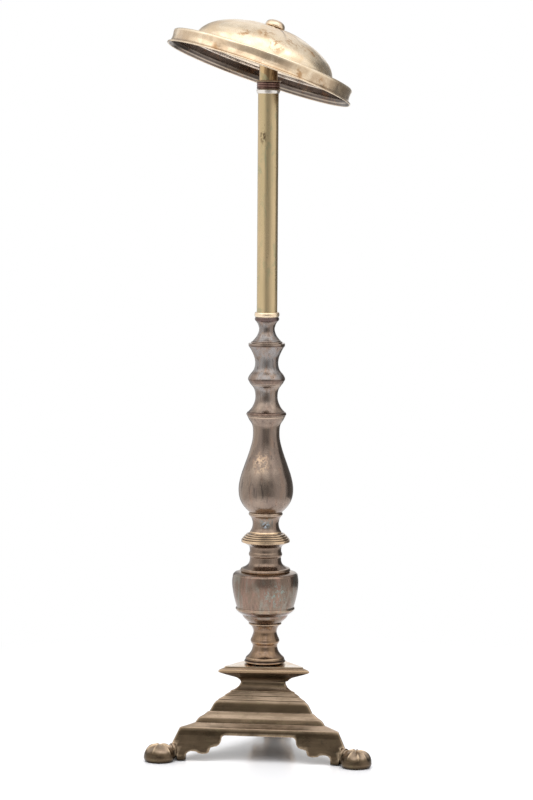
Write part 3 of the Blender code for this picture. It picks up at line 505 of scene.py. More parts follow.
def dark_brass():
    metal = Metal("dark_brass", (0.205, 0.156, 0.128), 0.17)
    clouds = metal.noise(24, 6, (1, 1, 1.6), 0.6)
    metal.tint(metal.grade(clouds, 0.36, 0.66), (0.305, 0.236, 0.186))
    metal.roughen(metal.grade(clouds, 0.35, 0.7), 0.25)
    height = metal.axis("Z")
    upper = metal.grade(height, UPPER_HALF - 0.02, UPPER_HALF)
    upper = metal.times(upper, metal.patches(12, 5, 0.40, 0.58, shift=17))
    metal.tint(upper, (0.285, 0.275, 0.272), 0.75)
    metal.roughen(upper, 0.34, 0.6)
    lower = metal.grade(height, LOWER_HALF - 0.035, LOWER_HALF, 0.58, 0.0)
    metal.tint(lower, (0.150, 0.100, 0.070))
    metal.tint(metal.grade(height, FOOT_WARM_Z - 0.010, FOOT_WARM_Z, 0.5, 0.0), (0.235, 0.140, 0.068))
    brown = None
    for name, level, half in BROWN_RINGS:
        ring = metal.around(height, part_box(name)[0].z + level * MM, half * 0.7 * MM, half * MM)
        brown = ring if brown is None else metal.either(brown, ring)
    metal.tint(brown, (0.115, 0.072, 0.055), 0.8)
    metal.tint(metal.patches(3.4, 5, 0.50, 0.68, 0.7, stretch=(1, 1, 9), twist=0.5), (0.27, 0.185, 0.140))
    streaks = metal.patches(2.4, 5, 0.54, 0.72, 0.75, stretch=(1, 1, 12), twist=0.4, shift=7)
    metal.tint(streaks, (0.095, 0.075, 0.066))
    vase = metal.times(metal.grade(height, VASE_MIDDLE - 0.026, VASE_MIDDLE - 0.018),
                       metal.grade(height, VASE_MIDDLE + 0.018, VASE_MIDDLE + 0.024, 1.0, 0.0))
    red = metal.times(vase, metal.patches(8, 5, 0.46, 0.64, stretch=(1, 1, 4), twist=1.0, shift=31))
    metal.tint(red, (0.27, 0.165, 0.130), 0.7)
    grey = metal.times(vase, metal.patches(9, 5, 0.48, 0.64, stretch=(1, 1, 3), twist=1.0, shift=43))
    metal.tint(grey, (0.24, 0.24, 0.205), 0.6)
    specks = metal.noise(1.2, 3, shift=3)
    metal.tint(metal.grade(specks, 0.63, 0.72, 0.0, 0.85), (0.06, 0.048, 0.04))
    metal.roughen(metal.grade(specks, 0.60, 0.74), 0.60)
    metal.tint(metal.patches(1.5, 3, 0.70, 0.77, 0.6, shift=23), (0.50, 0.42, 0.33))
    # Dirt in the inside corners, with painted shade there.
    dirt_and_shade = metal.times(metal.mark("dirt_and_shade"), metal.patches(5, 4, 0.22, 0.55, least=0.7))
    metal.tint(dirt_and_shade, (0.035, 0.025, 0.020), rough=0.62)
    # Edges rubbed bright, with a painted highlight along them.
    rub_and_glint = metal.times(metal.mark("wear_and_glint"), metal.patches(9, 5, 0.32, 0.56, least=0.55, stretch=(1, 1, 0.5), shift=11))
    metal.tint(rub_and_glint, (0.52, 0.41, 0.33))
    # Painted gold highlight on the rubbed edges below the upper half.
    gold_rub_and_glint = metal.times(rub_and_glint, metal.grade(height, UPPER_HALF - 0.05, UPPER_HALF - 0.02, 1.0, 0.0))
    metal.tint(gold_rub_and_glint, (0.92, 0.66, 0.40))
    metal.roughen(rub_and_glint, 0.13)
    top_lip = metal.grade(height, TOP_LIP_Z, TOP_LIP_Z + 0.0004)
    metal.tint(top_lip, (0.105, 0.065, 0.060), 0.8)
    patch = metal.near(BALUSTER_RUB, 0.0120, (1, 0.6, 0.85))
    patch = metal.times(patch, metal.patches(3.0, 7, 0.46, 0.60, 0.75, stretch=(1, 1, 1.3), twist=0.8, shift=5))
    metal.tint(patch, (0.66, 0.47, 0.31))
    bloom = metal.times(metal.near(SPOOL_BLOOM, 0.0052, (1, 0.6, 1.3)), metal.patches(2.4, 5, 0.42, 0.60, shift=9))
    metal.tint(bloom, (0.50, 0.56, 0.62))
    halo = metal.times(metal.near(BLOOM_HALO, 0.0105), metal.patches(3.2, 5, 0.44, 0.60, 0.6, shift=29))
    metal.tint(halo, (0.16, 0.21, 0.21))
    green = metal.times(metal.near(VASE_GREEN, 0.0125, (0.85, 0.6, 0.80)),
                        metal.patches(4.0, 7, 0.50, 0.60, 0.75, stretch=(1, 1, 1.5), twist=1.6, shift=13))
    metal.tint(green, (0.27, 0.37, 0.34))
    metal.roughen(metal.either(green, bloom), 0.6)
    metal.bump(metal.noise(0.6, 2, (60, 60, 1)), 0.012)
    metal.bump(metal.noise(6, 4), 0.09)
    metal.bump(metal.noise(1.8, 3, (1, 1, 2.5), shift=2), 0.010)
    metal.bump(specks, 0.018)
    return metal.done()


# %% [markdown]
# The casting was never turned, so it keeps the sand's soft skin under an olive-brown tarnish, and the faces have
# wide, flat streaks from wiping. The long edges of its steps are rubbed to pale brass and carry a painted highlight.
# Faces that turn upwards get a painted highlight too, the plate's flat top and its moulded edge get painted
# highlights, two bands of faces get painted dark reflections, and inside corners hold dirt with painted shade.

# %% Olive brass for the base
SEAM_Z, PLATE_TOP_Z = (corner.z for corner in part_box("base_plate"))
# Painted highlight: the height of the plate's rounded edge, which is lightened.
PLATE_GLINT_Z = SEAM_Z + 0.0110
# Painted dark reflection: the height and half width of two bands of the casting's faces that are darkened.
DARK_REFLECTION_BANDS = ((0.0475, 0.0040), (0.0262, 0.0034))


def base_brass():
    metal = Metal("base_brass", (0.080, 0.056, 0.034), 0.24)
    clouds = metal.noise(26, 6, (1.6, 1.6, 0.8), 0.6)
    metal.tint(metal.grade(clouds, 0.38, 0.66), (0.118, 0.084, 0.053))
    metal.roughen(metal.grade(clouds, 0.35, 0.7), 0.36)
    metal.tint(metal.patches(3.0, 5, 0.48, 0.70, 0.6, stretch=(9, 9, 0.8), shift=2), (0.165, 0.115, 0.074))
    metal.tint(metal.patches(8, 6, 0.56, 0.70, 0.7, shift=21), (0.060, 0.047, 0.032))
    metal.tint(metal.patches(11, 6, 0.56, 0.70, 0.5, shift=33), (0.135, 0.112, 0.062))
    height = metal.axis("Z")
    # Painted dark reflection on two bands of faces.
    for level, half in DARK_REFLECTION_BANDS:
        metal.tint(metal.around(height, level, half * 0.6, half, 0.55), (0.042, 0.028, 0.015))
    # Painted highlight along the plate's rounded edge.
    metal.tint(metal.around(height, PLATE_GLINT_Z, 0.0012, 0.0020, 0.75), (0.36, 0.25, 0.155))
    normal = metal.tree.nodes.new("ShaderNodeTexCoord").outputs["Normal"]
    facing = node(metal.tree, "ShaderNodeSeparateXYZ", i0=normal).outputs["Z"]
    upward = metal.grade(facing, 0.42, 0.90)
    # Painted highlight on faces that turn upwards, with streaks from wiping in it.
    wiped_and_lit = metal.times(upward, metal.patches(7, 5, 0.36, 0.60, least=0.55, stretch=(3, 3, 1), shift=6))
    metal.tint(wiped_and_lit, (0.56, 0.425, 0.310))
    metal.roughen(upward, 0.38)
    specks = metal.noise(1.3, 3, shift=4)
    metal.tint(metal.grade(specks, 0.63, 0.72, 0.0, 0.75), (0.035, 0.027, 0.018))
    metal.roughen(metal.grade(specks, 0.6, 0.73), 0.6)
    # Dirt in the inside corners, with painted shade there, weaker on faces that turn upwards.
    dirt_and_shade = metal.times(metal.mark("dirt_and_shade"), metal.patches(7, 4, 0.25, 0.6, least=0.6))
    dirt_and_shade = metal.times(dirt_and_shade, metal.grade(facing, 0.35, 0.80, 1.0, 0.15))
    metal.tint(dirt_and_shade, (0.028, 0.021, 0.014), rough=0.6)
    # Painted reflection: the plate's flat top is painted near white.
    top_glare = metal.grade(height, PLATE_TOP_Z - 0.0012, PLATE_TOP_Z - 0.0006)
    top_glare = metal.times(metal.grade(facing, 0.90, 0.97), top_glare)
    metal.tint(top_glare, (1.0, 0.98, 0.96), rough=0.32)
    # Edges of the steps rubbed to pale brass, with a painted highlight along them.
    rub_and_glint = metal.times(metal.mark("wear_and_glint"), metal.patches(12, 5, 0.32, 0.58, least=0.35, shift=8))
    rub_and_glint = metal.times(rub_and_glint, metal.grade(height, 0.003, 0.006))
    rub_and_glint = metal.times(rub_and_glint, metal.around(height, SEAM_Z, 0.0012, 0.0030, 0.0, 1.0))
    metal.tint(rub_and_glint, (0.74, 0.56, 0.38), rough=0.18)
    metal.tint(metal.grade(height, 0.0008, 0.0032, 0.85, 0.0), (0.030, 0.022, 0.016))
    metal.bump(metal.noise(1.6, 4), 0.03)
    metal.bump(metal.noise(9, 4), 0.15)
    return metal.done()


# %% [markdown]
# The tube is drawn brass in old lacquer: satin, tan, with long soft lines along it and a few dark spots. The cap was
# spun from sheet and is still polished, so it is nearly cream, with cloudy patches and brown stains; in the dents of
# its band the brown is a painted dark reflection. Its inside was never polished, and has gone dark. The collar's
# flared lip gets a painted highlight.

# %% Tube, cap, collar and iron
COLLAR_LIP_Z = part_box("collar_nut")[1].z - 0.0022
TUBE_SPOT = (-0.0035, -0.0088, 0.5750)


def tube_brass():
    metal = Metal("tube_brass", (0.62, 0.465, 0.270), 0.25)
    metal.tint(metal.patches(16, 5, 0.38, 0.66, stretch=(1, 1, 7)), (0.54, 0.425, 0.240))
    metal.tint(metal.patches(2.0, 4, 0.5, 0.72, 0.45, stretch=(1, 1, 40), shift=5), (0.40, 0.31, 0.185))
    post = metal.times(metal.grade(metal.axis("Z"), COLLAR_LIP_Z + 0.002, COLLAR_LIP_Z + 0.003), 0.75)
    metal.tint(post, (0.66, 0.44, 0.215))
    lines = metal.times(post, metal.patches(4.5, 4, 0.46, 0.60, stretch=(1, 1, 8), shift=12))
    metal.tint(lines, (0.20, 0.115, 0.055))
    specks = metal.patches(2.0, 3, 0.70, 0.76, 0.9, stretch=(1, 1, 1.3), shift=6)
    metal.tint(specks, (0.10, 0.075, 0.04))
    green = metal.patches(9, 6, 0.52, 0.66, stretch=(1, 1, 2.4), twist=0.8, shift=27)
    metal.tint(green, (0.37, 0.36, 0.215), 0.65)
    spot = metal.patches(2.2, 5, 0.44, 0.58, stretch=(1, 1, 2), shift=8)
    spot = metal.times(metal.near(TUBE_SPOT, 0.0075, (1.6, 1, 0.8)), spot)
    metal.tint(spot, (0.13, 0.090, 0.05))
    # Dirt in the inside corners, with painted shade there.
    dirt_and_shade = metal.times(metal.mark("dirt_and_shade"), 0.85)
    metal.tint(dirt_and_shade, (0.12, 0.075, 0.055))
    # Edges rubbed bright, with a painted highlight along them.
    metal.tint(metal.mark("wear_and_glint"), (0.78, 0.62, 0.40), 0.8)
    metal.roughen(metal.either(specks, dirt_and_shade), 0.6)
    metal.roughen(metal.patches(22, 5, 0.42, 0.7, stretch=(1, 1, 3), shift=3), 0.40)
    metal.bump(metal.noise(0.7, 2, (1, 1, 70)), 0.008)
    metal.bump(metal.noise(14, 3, (1, 1, 3)), 0.05)
    return metal.done()


# Brown stains on the dome, and painted dark reflections in four dents of the band at radius 84 to 86 mm: bearing,
# radius, height and size in mm.
CAP_STAINS_AND_DENT_DARKS = ((249, 53, 4, 11), (232, 60, -1, 12), (276, 54, 3, 10), (287, 54, 3, 8), (301, 56, 2, 9),
              (224, 84, -25, 6), (278, 86, -24, 7), (294, 86, -22, 6), (299, 86, -25, 4), (262, 62, -4, 12))
KNOB_MIDDLE = 0.0205


def cap_brass():
    metal = Metal("polished_brass", (0.90, 0.745, 0.545), 0.20)
    clouds = metal.noise(28, 7, twist=1.0)
    metal.tint(metal.grade(clouds, 0.42, 0.62), (0.85, 0.665, 0.450))
    metal.roughen(metal.grade(clouds, 0.38, 0.62), 0.34)
    haze = metal.patches(17, 6, 0.50, 0.64, twist=1.6, shift=9)
    metal.tint(haze, (0.93, 0.80, 0.64), 0.4)
    metal.roughen(haze, 0.36, 0.8)
    metal.tint(metal.patches(13, 6, 0.50, 0.68, 0.45, twist=0.8, shift=4), (0.74, 0.53, 0.33))
    band = metal.grade(metal.along(cap_up), LEDGE_Z - 0.0035, LEDGE_Z - 0.0012, 1.0, 0.0)
    band = metal.times(band, metal.patches(15, 6, 0.38, 0.60, 0.85, least=0.25, twist=0.7, shift=51))
    metal.tint(band, (0.55, 0.405, 0.270))
    # Real stains, and painted dark reflections in the band's dents.
    stains_and_dent_darks = None
    for degrees, radius, height, size in CAP_STAINS_AND_DENT_DARKS:
        turn = radians(degrees)
        centre = HEAD.to_3x3() @ (Vector((radius * cos(turn), radius * sin(turn), height)) * MM)
        here = metal.near(centre, size * MM)
        stains_and_dent_darks = here if stains_and_dent_darks is None else metal.either(stains_and_dent_darks, here)
    stains_and_dent_darks = metal.times(stains_and_dent_darks, metal.patches(5, 7, 0.44, 0.60, 0.9, shift=15))
    metal.tint(stains_and_dent_darks, (0.46, 0.27, 0.13))
    # Painted shade along the dome's creases.
    metal.tint(metal.mark("crease"), (0.23, 0.14, 0.075), 0.9)
    knob = metal.near(HEAD.to_3x3() @ Vector((0, 0, KNOB_MIDDLE)), 0.0125)
    metal.tint(knob, (0.60, 0.43, 0.32), 0.85, rough=0.25)
    specks = metal.patches(1.7, 3, 0.67, 0.75, 0.85, shift=2)
    metal.tint(specks, (0.26, 0.155, 0.085))
    metal.roughen(metal.either(stains_and_dent_darks, specks), 0.45)
    # Dirt in the inside corners, with painted shade there.
    dirt_and_shade = metal.times(metal.mark("dirt_and_shade"), 0.75)
    metal.tint(dirt_and_shade, (0.24, 0.15, 0.085))
    # Edges rubbed bright, with a painted highlight along them.
    metal.tint(metal.mark("wear_and_glint"), (1.0, 0.90, 0.74), 0.6)
    metal.bump(metal.noise(1.2, 3, shift=1), 0.010)
    metal.bump(metal.noise(5, 4, shift=5), 0.05)
    metal.bump(metal.noise(18, 4, twist=0.5), 0.10)
    return metal.done()


def cap_inside():
    metal = Metal("tarnished_inside", (0.150, 0.120, 0.105), 0.20)
    metal.tint(metal.patches(20, 6, 0.40, 0.62, twist=0.6), (0.245, 0.195, 0.170))
    metal.tint(metal.patches(7, 6, 0.54, 0.66, 0.8, twist=1.0, shift=3), (0.36, 0.20, 0.12))
    metal.tint(metal.patches(5, 5, 0.56, 0.68, 0.7, shift=13), (0.065, 0.052, 0.048))
    level = metal.along(cap_up)
    metal.tint(metal.grade(level, LEDGE_Z - 0.0030, LEDGE_Z - 0.0022, 0.5, 0.0), (0.070, 0.056, 0.050))
    pale = metal.times(metal.grade(level, LEDGE_Z - 0.0026, LEDGE_Z - 0.0018),
                       metal.grade(level, LEDGE_Z + 0.002, LEDGE_Z + 0.004, 1.0, 0.0))
    metal.tint(metal.times(pale, metal.patches(9, 5, 0.36, 0.56, 0.9, least=0.4, shift=19)), (0.86, 0.76, 0.66))
    # Edges rubbed bright, with a painted highlight along them.
    metal.tint(metal.mark("wear_and_glint"), (0.85, 0.72, 0.56), 0.9)
    metal.roughen(metal.patches(11, 5, 0.4, 0.7, shift=6), 0.36)
    metal.bump(metal.noise(2.4, 4), 0.03)
    metal.bump(metal.noise(12, 4), 0.10)
    return metal.done()


def collar_brown():
    metal = Metal("collar_brown", (0.200, 0.112, 0.092), 0.28)
    metal.tint(metal.patches(5, 5, 0.42, 0.64), (0.31, 0.195, 0.155))
    # Painted highlight on the collar's flared lip.
    metal.tint(metal.grade(metal.axis("Z"), COLLAR_LIP_Z, COLLAR_LIP_Z + 0.0008), (0.55, 0.41, 0.27))
    # Edges rubbed bright, with a painted highlight along them.
    metal.tint(metal.mark("wear_and_glint"), (0.62, 0.42, 0.28), 0.45)
    # Dirt in the inside corners, with painted shade there.
    metal.tint(metal.mark("dirt_and_shade"), (0.03, 0.018, 0.015))
    metal.roughen(metal.patches(2, 4, 0.4, 0.7, shift=2), 0.42)
    metal.bump(metal.noise(0.8, 3), 0.015)
    return metal.done()


def seat_white():
    metal = Metal("pale_ring", (0.84, 0.79, 0.73), 0.18)
    metal.tint(metal.patches(3, 5, 0.48, 0.66, 0.8, stretch=(3, 3, 1)), (0.55, 0.47, 0.40))
    # Dirt in the inside corners, with painted shade there.
    metal.tint(metal.mark("dirt_and_shade"), (0.12, 0.08, 0.06), 0.8)
    metal.roughen(metal.patches(2, 4, 0.4, 0.7, shift=2), 0.32)
    metal.bump(metal.noise(1.0, 3), 0.010)
    return metal.done()


def iron():
    metal = Metal("blackened_iron", (0.17, 0.155, 0.14), 0.45)
    metal.tint(metal.patches(4, 5, 0.48, 0.68, 0.8), (0.15, 0.085, 0.05))
    metal.tint(metal.patches(1.4, 4, 0.52, 0.7, 0.6, shift=5), (0.07, 0.06, 0.055))
    # Edges rubbed bright, with a painted highlight along them.
    metal.tint(metal.mark("wear_and_glint"), (0.42, 0.40, 0.37), 0.7)
    metal.roughen(metal.patches(3, 4, 0.4, 0.7, shift=2), 0.7)
    metal.bump(metal.noise(1.0, 4), 0.03)
    return metal.done()


KINDS = (dark_brass, base_brass, tube_brass, cap_brass, cap_inside, collar_brown, seat_white, iron)
DARK, OLIVE, TUBE, POLISHED, INSIDE, COLLAR, PALE, IRON = (mix() for mix in KINDS)
print(len(KINDS), "finishes mixed")

# %% [markdown]
# ## The column
#
# Eight turned castings are threaded on one rod. Each has a seat at its foot and a lip at its top, and between them
# hollows, knops and swellings follow one another, as they do on an old bedpost or lamp. Each piece is swept from its
# own rows, starting at the height where the frame has it, so the hair's breadth between two pieces stays open.

# %% Profiles of the turned pieces
PROFILES = {
    "foot_spool": (
        ((17.0, 0.0), (19.3, 1.5), (18.5, 2.8)),
        ((17.8, 3.0), (18.3, 3.9), (17.5, 5.6)),
        ((17.2, 5.9), (14.9, 8.0), (12.5, 11.6), (11.5, 15.5), (11.9, 18.0)),
        ((12.4, 18.4), (13.5, 20.9), (12.6, 23.8)),
        ((12.4, 24.0), (10.9, 28.6), (11.5, 32.4), (13.4, 35.8)),
        ((14.8, 36.3), (15.4, 37.2), (14.9, 38.1))),
    "vase": (
        ((15.1, 0.0), (17.6, 2.2), (20.2, 4.8), (21.4, 7.6)),
        ((22.4, 8.1), (24.8, 9.6), (26.6, 11.2)),
        ((26.7, 11.5), (27.6, 12.9), (26.8, 14.5)),
        ((26.7, 14.9), (28.9, 23.0), (30.5, 32.0), (30.9, 39.0), (30.1, 45.0)),
        ((28.6, 46.6), (24.4, 47.6))),
    "neck_knop": (
        ((22.7, 0.0), (23.3, 1.2), (22.4, 3.0)),
        ((20.6, 3.3), (16.4, 6.3), (14.8, 9.4), (14.5, 13.2)),
        ((14.7, 13.7), (15.6, 15.9), (14.9, 18.2)),
        ((14.7, 18.5), (14.7, 21.4), (15.8, 24.2), (21.0, 27.2)),
        ((22.5, 27.6), (22.5, 30.0)),
        ((21.3, 30.0), (21.3, 31.8)),
        ((19.7, 31.8), (19.7, 33.6)),
        ((17.9, 33.6), (17.9, 35.2)),
        ((15.4, 35.4), (15.1, 36.4))),
    "ring_spool": (
        ((14.9, 0.0), (12.9, 3.6), (12.1, 8.0), (12.9, 12.4), (14.3, 14.9)),
        ((14.8, 15.2), (15.9, 17.0), (15.0, 18.9))),
    "baluster": (
        ((15.6, 0.0), (21.0, 5.8), (24.6, 13.4), (25.4, 22.6), (23.6, 32.8), (19.9, 44.0), (15.7, 56.0),
         (12.9, 66.6), (12.3, 74.4), (13.1, 81.0), (16.0, 85.9), (17.8, 89.5)),),
    "middle_spool": (
        ((17.9, 0.0), (18.6, 1.4), (17.7, 3.2)),
        ((17.0, 3.5), (13.4, 7.6), (10.8, 13.6), (10.3, 19.0), (11.4, 24.6), (14.6, 29.1))),
    "upper_spool": (
        ((15.0, 0.0), (16.4, 2.6)),
        ((16.7, 3.0), (17.2, 5.2), (15.4, 8.8), (12.0, 13.2), (10.7, 19.0), (11.6, 25.2), (14.6, 31.8),
         (16.7, 35.0)),
        ((16.9, 35.4), (16.9, 37.8))),
    "top_spool": (
        ((14.6, 0.0), (14.3, 1.2)),
        ((13.1, 1.3), (12.6, 2.5)),
        ((12.1, 2.7), (8.9, 7.0), (7.2, 12.4), (8.2, 17.0), (9.9, 19.9)),
        ((10.4, 20.2), (11.4, 22.0), (10.7, 23.8))),
}
ROD_BORE = 4.3


# %% Turn the column
def turned(name, rows, bore, material, body="stand"):
    """A turned piece that stands where the frame has its CAD piece."""
    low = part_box(name)[0].z
    outline = [Vector((radius, low + height)) for radius, height in outline_of(rows, bore * MM)]
    mesh = sweep(outline)
    ripple(mesh, 0.05 * MM, 11 * MM, len(name))
    return finish_piece("turned_" + name, mesh, body, material, [name])


for name, rows in PROFILES.items():
    turned(name, rows, ROD_BORE, DARK)
print("column turned in", len(PROFILES), "pieces")

# %% [markdown]
# ## Tube, collar and post
#
# A length of drawn tube stands on the column in a little ferrule. On its top sits a bevelled ring, and on that the
# banded collar that is turned by hand to grip the post. A drawn tube is dead straight, so it needs few rings along
# its length, but its ends are eased like everything else that is handled.

# %% Tube and post
TUBE_R = 9.525
TUBE_WALL = 0.75
POST_R = 8.475
POST_WALL = 1.0
SLIP = 0.3
RING_EVERY = 6.0


def pipe(name, radius, bore, body="stand", material=TUBE, ease=0.35):
    low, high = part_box(name)
    length = (high.z - low.z) / MM
    stops = ceil(length / RING_EVERY)
    levels = [ease + (length - 2 * ease) * i / stops for i in range(stops + 1)]
    rows = [((radius - ease, 0.0), (radius, ease))]
    rows += [((radius, a), (radius, b)) for a, b in zip(levels, levels[1:])]
    rows.append(((radius, length - ease), (radius - ease, length)))
    return turned(name, rows, bore, material, body)


pipe("outer_tube", TUBE_R, TUBE_R - TUBE_WALL)
pipe("inner_post", POST_R, POST_R - POST_WALL, "post")
pipe("tube_plug", TUBE_R - TUBE_WALL - SLIP, ROD_BORE)
pipe("post_guide", POST_R, 0.0, "guide")
pipe("collet", TUBE_R, POST_R + SLIP)
ferrule_rows = (((10.9, 0.0), (11.5, 1.4), (11.5, 3.0), (10.9, 4.4)),)
turned("tube_ferrule", ferrule_rows, TUBE_R + SLIP, POLISHED)
print("tube", TUBE_R * 2, "mm and post", POST_R * 2, "mm across")

# %% Collar
BANDS = 3
GRIP = 6.6
LIP_TOP = 8.2


def collar_rows():
    """Rounded bands with a groove between each two, then the flared lip."""
    rows = [((10.4, 0.0), (10.5, 0.1))]
    band = GRIP / BANDS
    for i in range(BANDS):
        low = band * i
        rows.append(((10.30, low + 0.12), (10.62, low + 0.45), (10.72, low + band / 2), (10.62, low + band - 0.45),
                     (10.30, low + band - 0.12)))
    rows.append(((10.55, GRIP + 0.05), (11.65, GRIP + 0.35), (11.9, GRIP + 0.8), (11.65, LIP_TOP - 0.15)))
    rows.append(((11.4, LIP_TOP), (9.6, LIP_TOP - 0.02)))
    return rows


seat_rows = (((10.3, 0.0), (10.92, 2.6)), ((10.92, 2.6), (10.92, 3.3)), ((10.92, 3.3), (10.6, 3.6)))
turned("collar_seat", seat_rows, TUBE_R + SLIP, PALE)
turned("collar_nut", collar_rows(), POST_R + SLIP, COLLAR, "collar")
print("collar has", BANDS, "bands under a flared lip")

# %% [markdown]
# ## The cap
#
# The cap was spun from one sheet on a lathe: a lip rolled over a wire, a short band, a flat ledge, and a low dome.
# Thin sheet tells its age. It has fine creases that run out from the knob, soft waves where it was rubbed, and small
# dents in the band. They are pushed into both skins together, so the sheet keeps its thickness. How strongly a crease
# shows is stored on the mesh as well, and the finish paints shade along it there.

# %% The cap's outline
CAP_SIDES = 180
LIP_R = 88.8
LIP_WIRE = 0.8
BAND_R = 86.2
DOME_R = 66.0
DOME_RISE = 31.0
SHEET = 1.0
CROWN_FLAT = 10.5
CROWN_RING = 7.0
STUD_HOLE = 3.3
RIM_Z = LEDGE_Z / MM - 14.0
TOP_Z = LEDGE_Z / MM + DOME_RISE


def points(*pairs):
    return [Vector(pair) for pair in pairs]


def arc(centre, radius, start, end, steps):
    """Points round a circle, from one angle in degrees to another."""
    turns = [radians(start + (end - start) * i / steps) for i in range(steps + 1)]
    return [Vector((centre[0] + radius * cos(t), centre[1] + radius * sin(t))) for t in turns]


def dome_side(width, rise, low, steps=34):
    """From the ledge up a quarter ellipse to the edge of the flat crown."""
    finish = acos(CROWN_FLAT / width)
    return [Vector((width * cos(finish * i / steps), low + rise * sin(finish * i / steps)))
            for i in range(1, steps + 1)]


def strip(start, end, steps):
    return [Vector(start).lerp(Vector(end), i / steps) for i in range(steps + 1)]


def cap_skins():
    ledge = LEDGE_Z / MM
    outer = arc((LIP_R - LIP_WIRE, RIM_Z + LIP_WIRE), LIP_WIRE, -150, 75, 12)
    outer += points((87.6, RIM_Z + 1.75), (86.9, RIM_Z + 2.15), (86.4, RIM_Z + 2.9))
    outer += strip((86.1, RIM_Z + 4.0), (85.7, RIM_Z + 7.0), 4)
    outer += strip((85.75, RIM_Z + 8.0), (86.1, ledge - 2.4), 3)
    outer += arc((BAND_R - 1.6, ledge - 1.6), 1.6, 6, 90, 5)
    outer += strip((83.0, ledge), (69.6, ledge - 0.15), 8)
    outer += points((68.0, ledge + 0.1), (66.9, ledge + 0.6), (66.3, ledge + 1.5))
    outer += [p for p in dome_side(DOME_R, DOME_RISE, ledge) if p.y > ledge + 2.4]
    outer += points((CROWN_RING, TOP_Z), (STUD_HOLE, TOP_Z))
    inner = points((STUD_HOLE, TOP_Z - SHEET), (CROWN_RING, TOP_Z - SHEET))
    inner += [p for p in reversed(dome_side(DOME_R - SHEET, DOME_RISE - SHEET, ledge)) if p.y > ledge + 0.4]
    inner += strip((66.0, ledge - SHEET), (83.0, ledge - SHEET), 8)
    inner += arc((BAND_R - 2.2, ledge - 2.2), 1.2, 90, 6, 4)
    inner += strip((85.05, ledge - 3.2), (84.7, RIM_Z + 7.0), 3)
    inner += strip((84.75, RIM_Z + 5.6), (85.6, RIM_Z + 2.6), 3)
    inner += points((86.4, RIM_Z + 1.7))
    return [p * MM for p in outer], [p * MM for p in inner]


print("cap stands from", round(RIM_Z, 1), "to", round(TOP_Z, 1), "mm along its axis")

# %% Wear the sheet
BAND_DENTS = (
    (226, -25.0, 2.2, 2.4, 1.10), (294, -22.0, 1.3, 1.8, 0.75), (299, -25.4, 1.2, 1.5, 0.85),
    (277, -24.0, 1.2, 1.4, -0.45), (248, -20.0, 5.0, 5.0, 0.55), (262, -19.0, 4.0, 4.0, 0.40),
    (285, -21.0, 2.0, 5.0, -0.65), (290, -20.5, 3.0, 4.0, 0.55), (40, -22.0, 3.5, 3.5, 0.75),
    (122, -21.0, 6.0, 4.5, 0.60), (170, -24.0, 2.2, 2.4, 0.80),
)
DOME_CREASES = (
    (270, 58, 1.1, 0.60), (203, 30, 1.5, 0.50), (222, 24, 1.2, -0.45), (236, 34, 1.6, 0.55), (250, 34, 1.1, -0.45),
    (259, 32, 0.9, 0.70), (281, 42, 1.0, 1.00), (289, 50, 1.3, -0.60), (298, 38, 1.1, 1.05), (309, 54, 1.6, -0.70),
    (322, 40, 1.3, 0.90), (346, 30, 1.6, -0.45), (14, 24, 1.3, 0.50), (45, 34, 1.7, 0.55), (78, 26, 1.3, -0.45),
    (112, 30, 1.5, 0.55), (143, 23, 1.2, 0.45), (172, 33, 1.6, -0.50),
)
BAND_WAVE = 0.30
DOME_WAVE = 0.42


def degrees_apart(a, b):
    return (a - b + 180) % 360 - 180


def crease_at(bearing, radius):
    """The depth of the creases at a point of the dome, and how much painted shade marks them there."""
    depth = crease_shading = 0.0
    start = min(max((radius - 10.2) / 2, 0), 1)
    for degrees, reach, wide, deep in DOME_CREASES:
        apart = radians(degrees_apart(bearing, degrees))
        aside = apart * radius
        along = min(max((reach - radius) / (0.55 * reach), 0), 1)
        if abs(aside) < 3 * wide and cos(apart) > 0:
            share = exp(-(aside / wide) ** 2) * start * along
            depth += deep * share
            crease_shading = max(crease_shading, min(2.2 * abs(deep), 1) * share)
    return depth, crease_shading


def sheet_push(place):
    """How far the sheet is pushed at a point, in millimetres, as a vector in the cap's frame."""
    x, y, w = (v / MM for v in place)
    radius, bearing = hypot(x, y), atan2(y, x) * 180 / pi
    wave = noise.noise(Vector((x, y, w)) / 24) + 0.45 * noise.noise(Vector((x, y, w)) / 9)
    if w < LEDGE_Z / MM - 1.1:
        clear = min(max((LEDGE_Z / MM - w) / 4, 0), 1)
        push = BAND_WAVE * wave * clear
        for degrees, height, wide, tall, depth in BAND_DENTS:
            aside = degrees_apart(bearing, degrees) / wide
            push -= depth * exp(-aside ** 2 - ((w - height) / tall) ** 2) * clear
        return Vector((x, y, 0)).normalized() * push * MM
    if radius > DOME_R + 0.5:
        return Vector((0, 0, 0.12 * wave * MM))
    grown = min(max((radius - 10.3) / 5, 0), 1) * min(max((DOME_R - radius) / 8, 0), 1)
    push = DOME_WAVE * wave * grown - crease_at(bearing, radius)[0]
    return Vector((0, 0, push * MM))


cap_outer, cap_inner = cap_skins()
cap_mesh = sweep(cap_outer + cap_inner, CAP_SIDES, len(cap_outer) - 1)
# How strongly painted shade shows along the creases, at each point.
crease_shade = []
for vertex in cap_mesh.verts:
    x, y, w = vertex.co / MM
    crease_shade.append(crease_at(atan2(y, x) * 180 / pi, hypot(x, y))[1] if hypot(x, y) < DOME_R else 0.0)
    vertex.co += sheet_push(vertex.co)
cap = finish_piece("spun_cap", cap_mesh, "head", POLISHED, ["dome_cap"], HEAD, INSIDE, 80)
cap.data.attributes.new("crease", "FLOAT", "POINT").data.foreach_set("value", crease_shade)
print("cap has", len(DOME_CREASES), "creases and", len(BAND_DENTS), "dents")

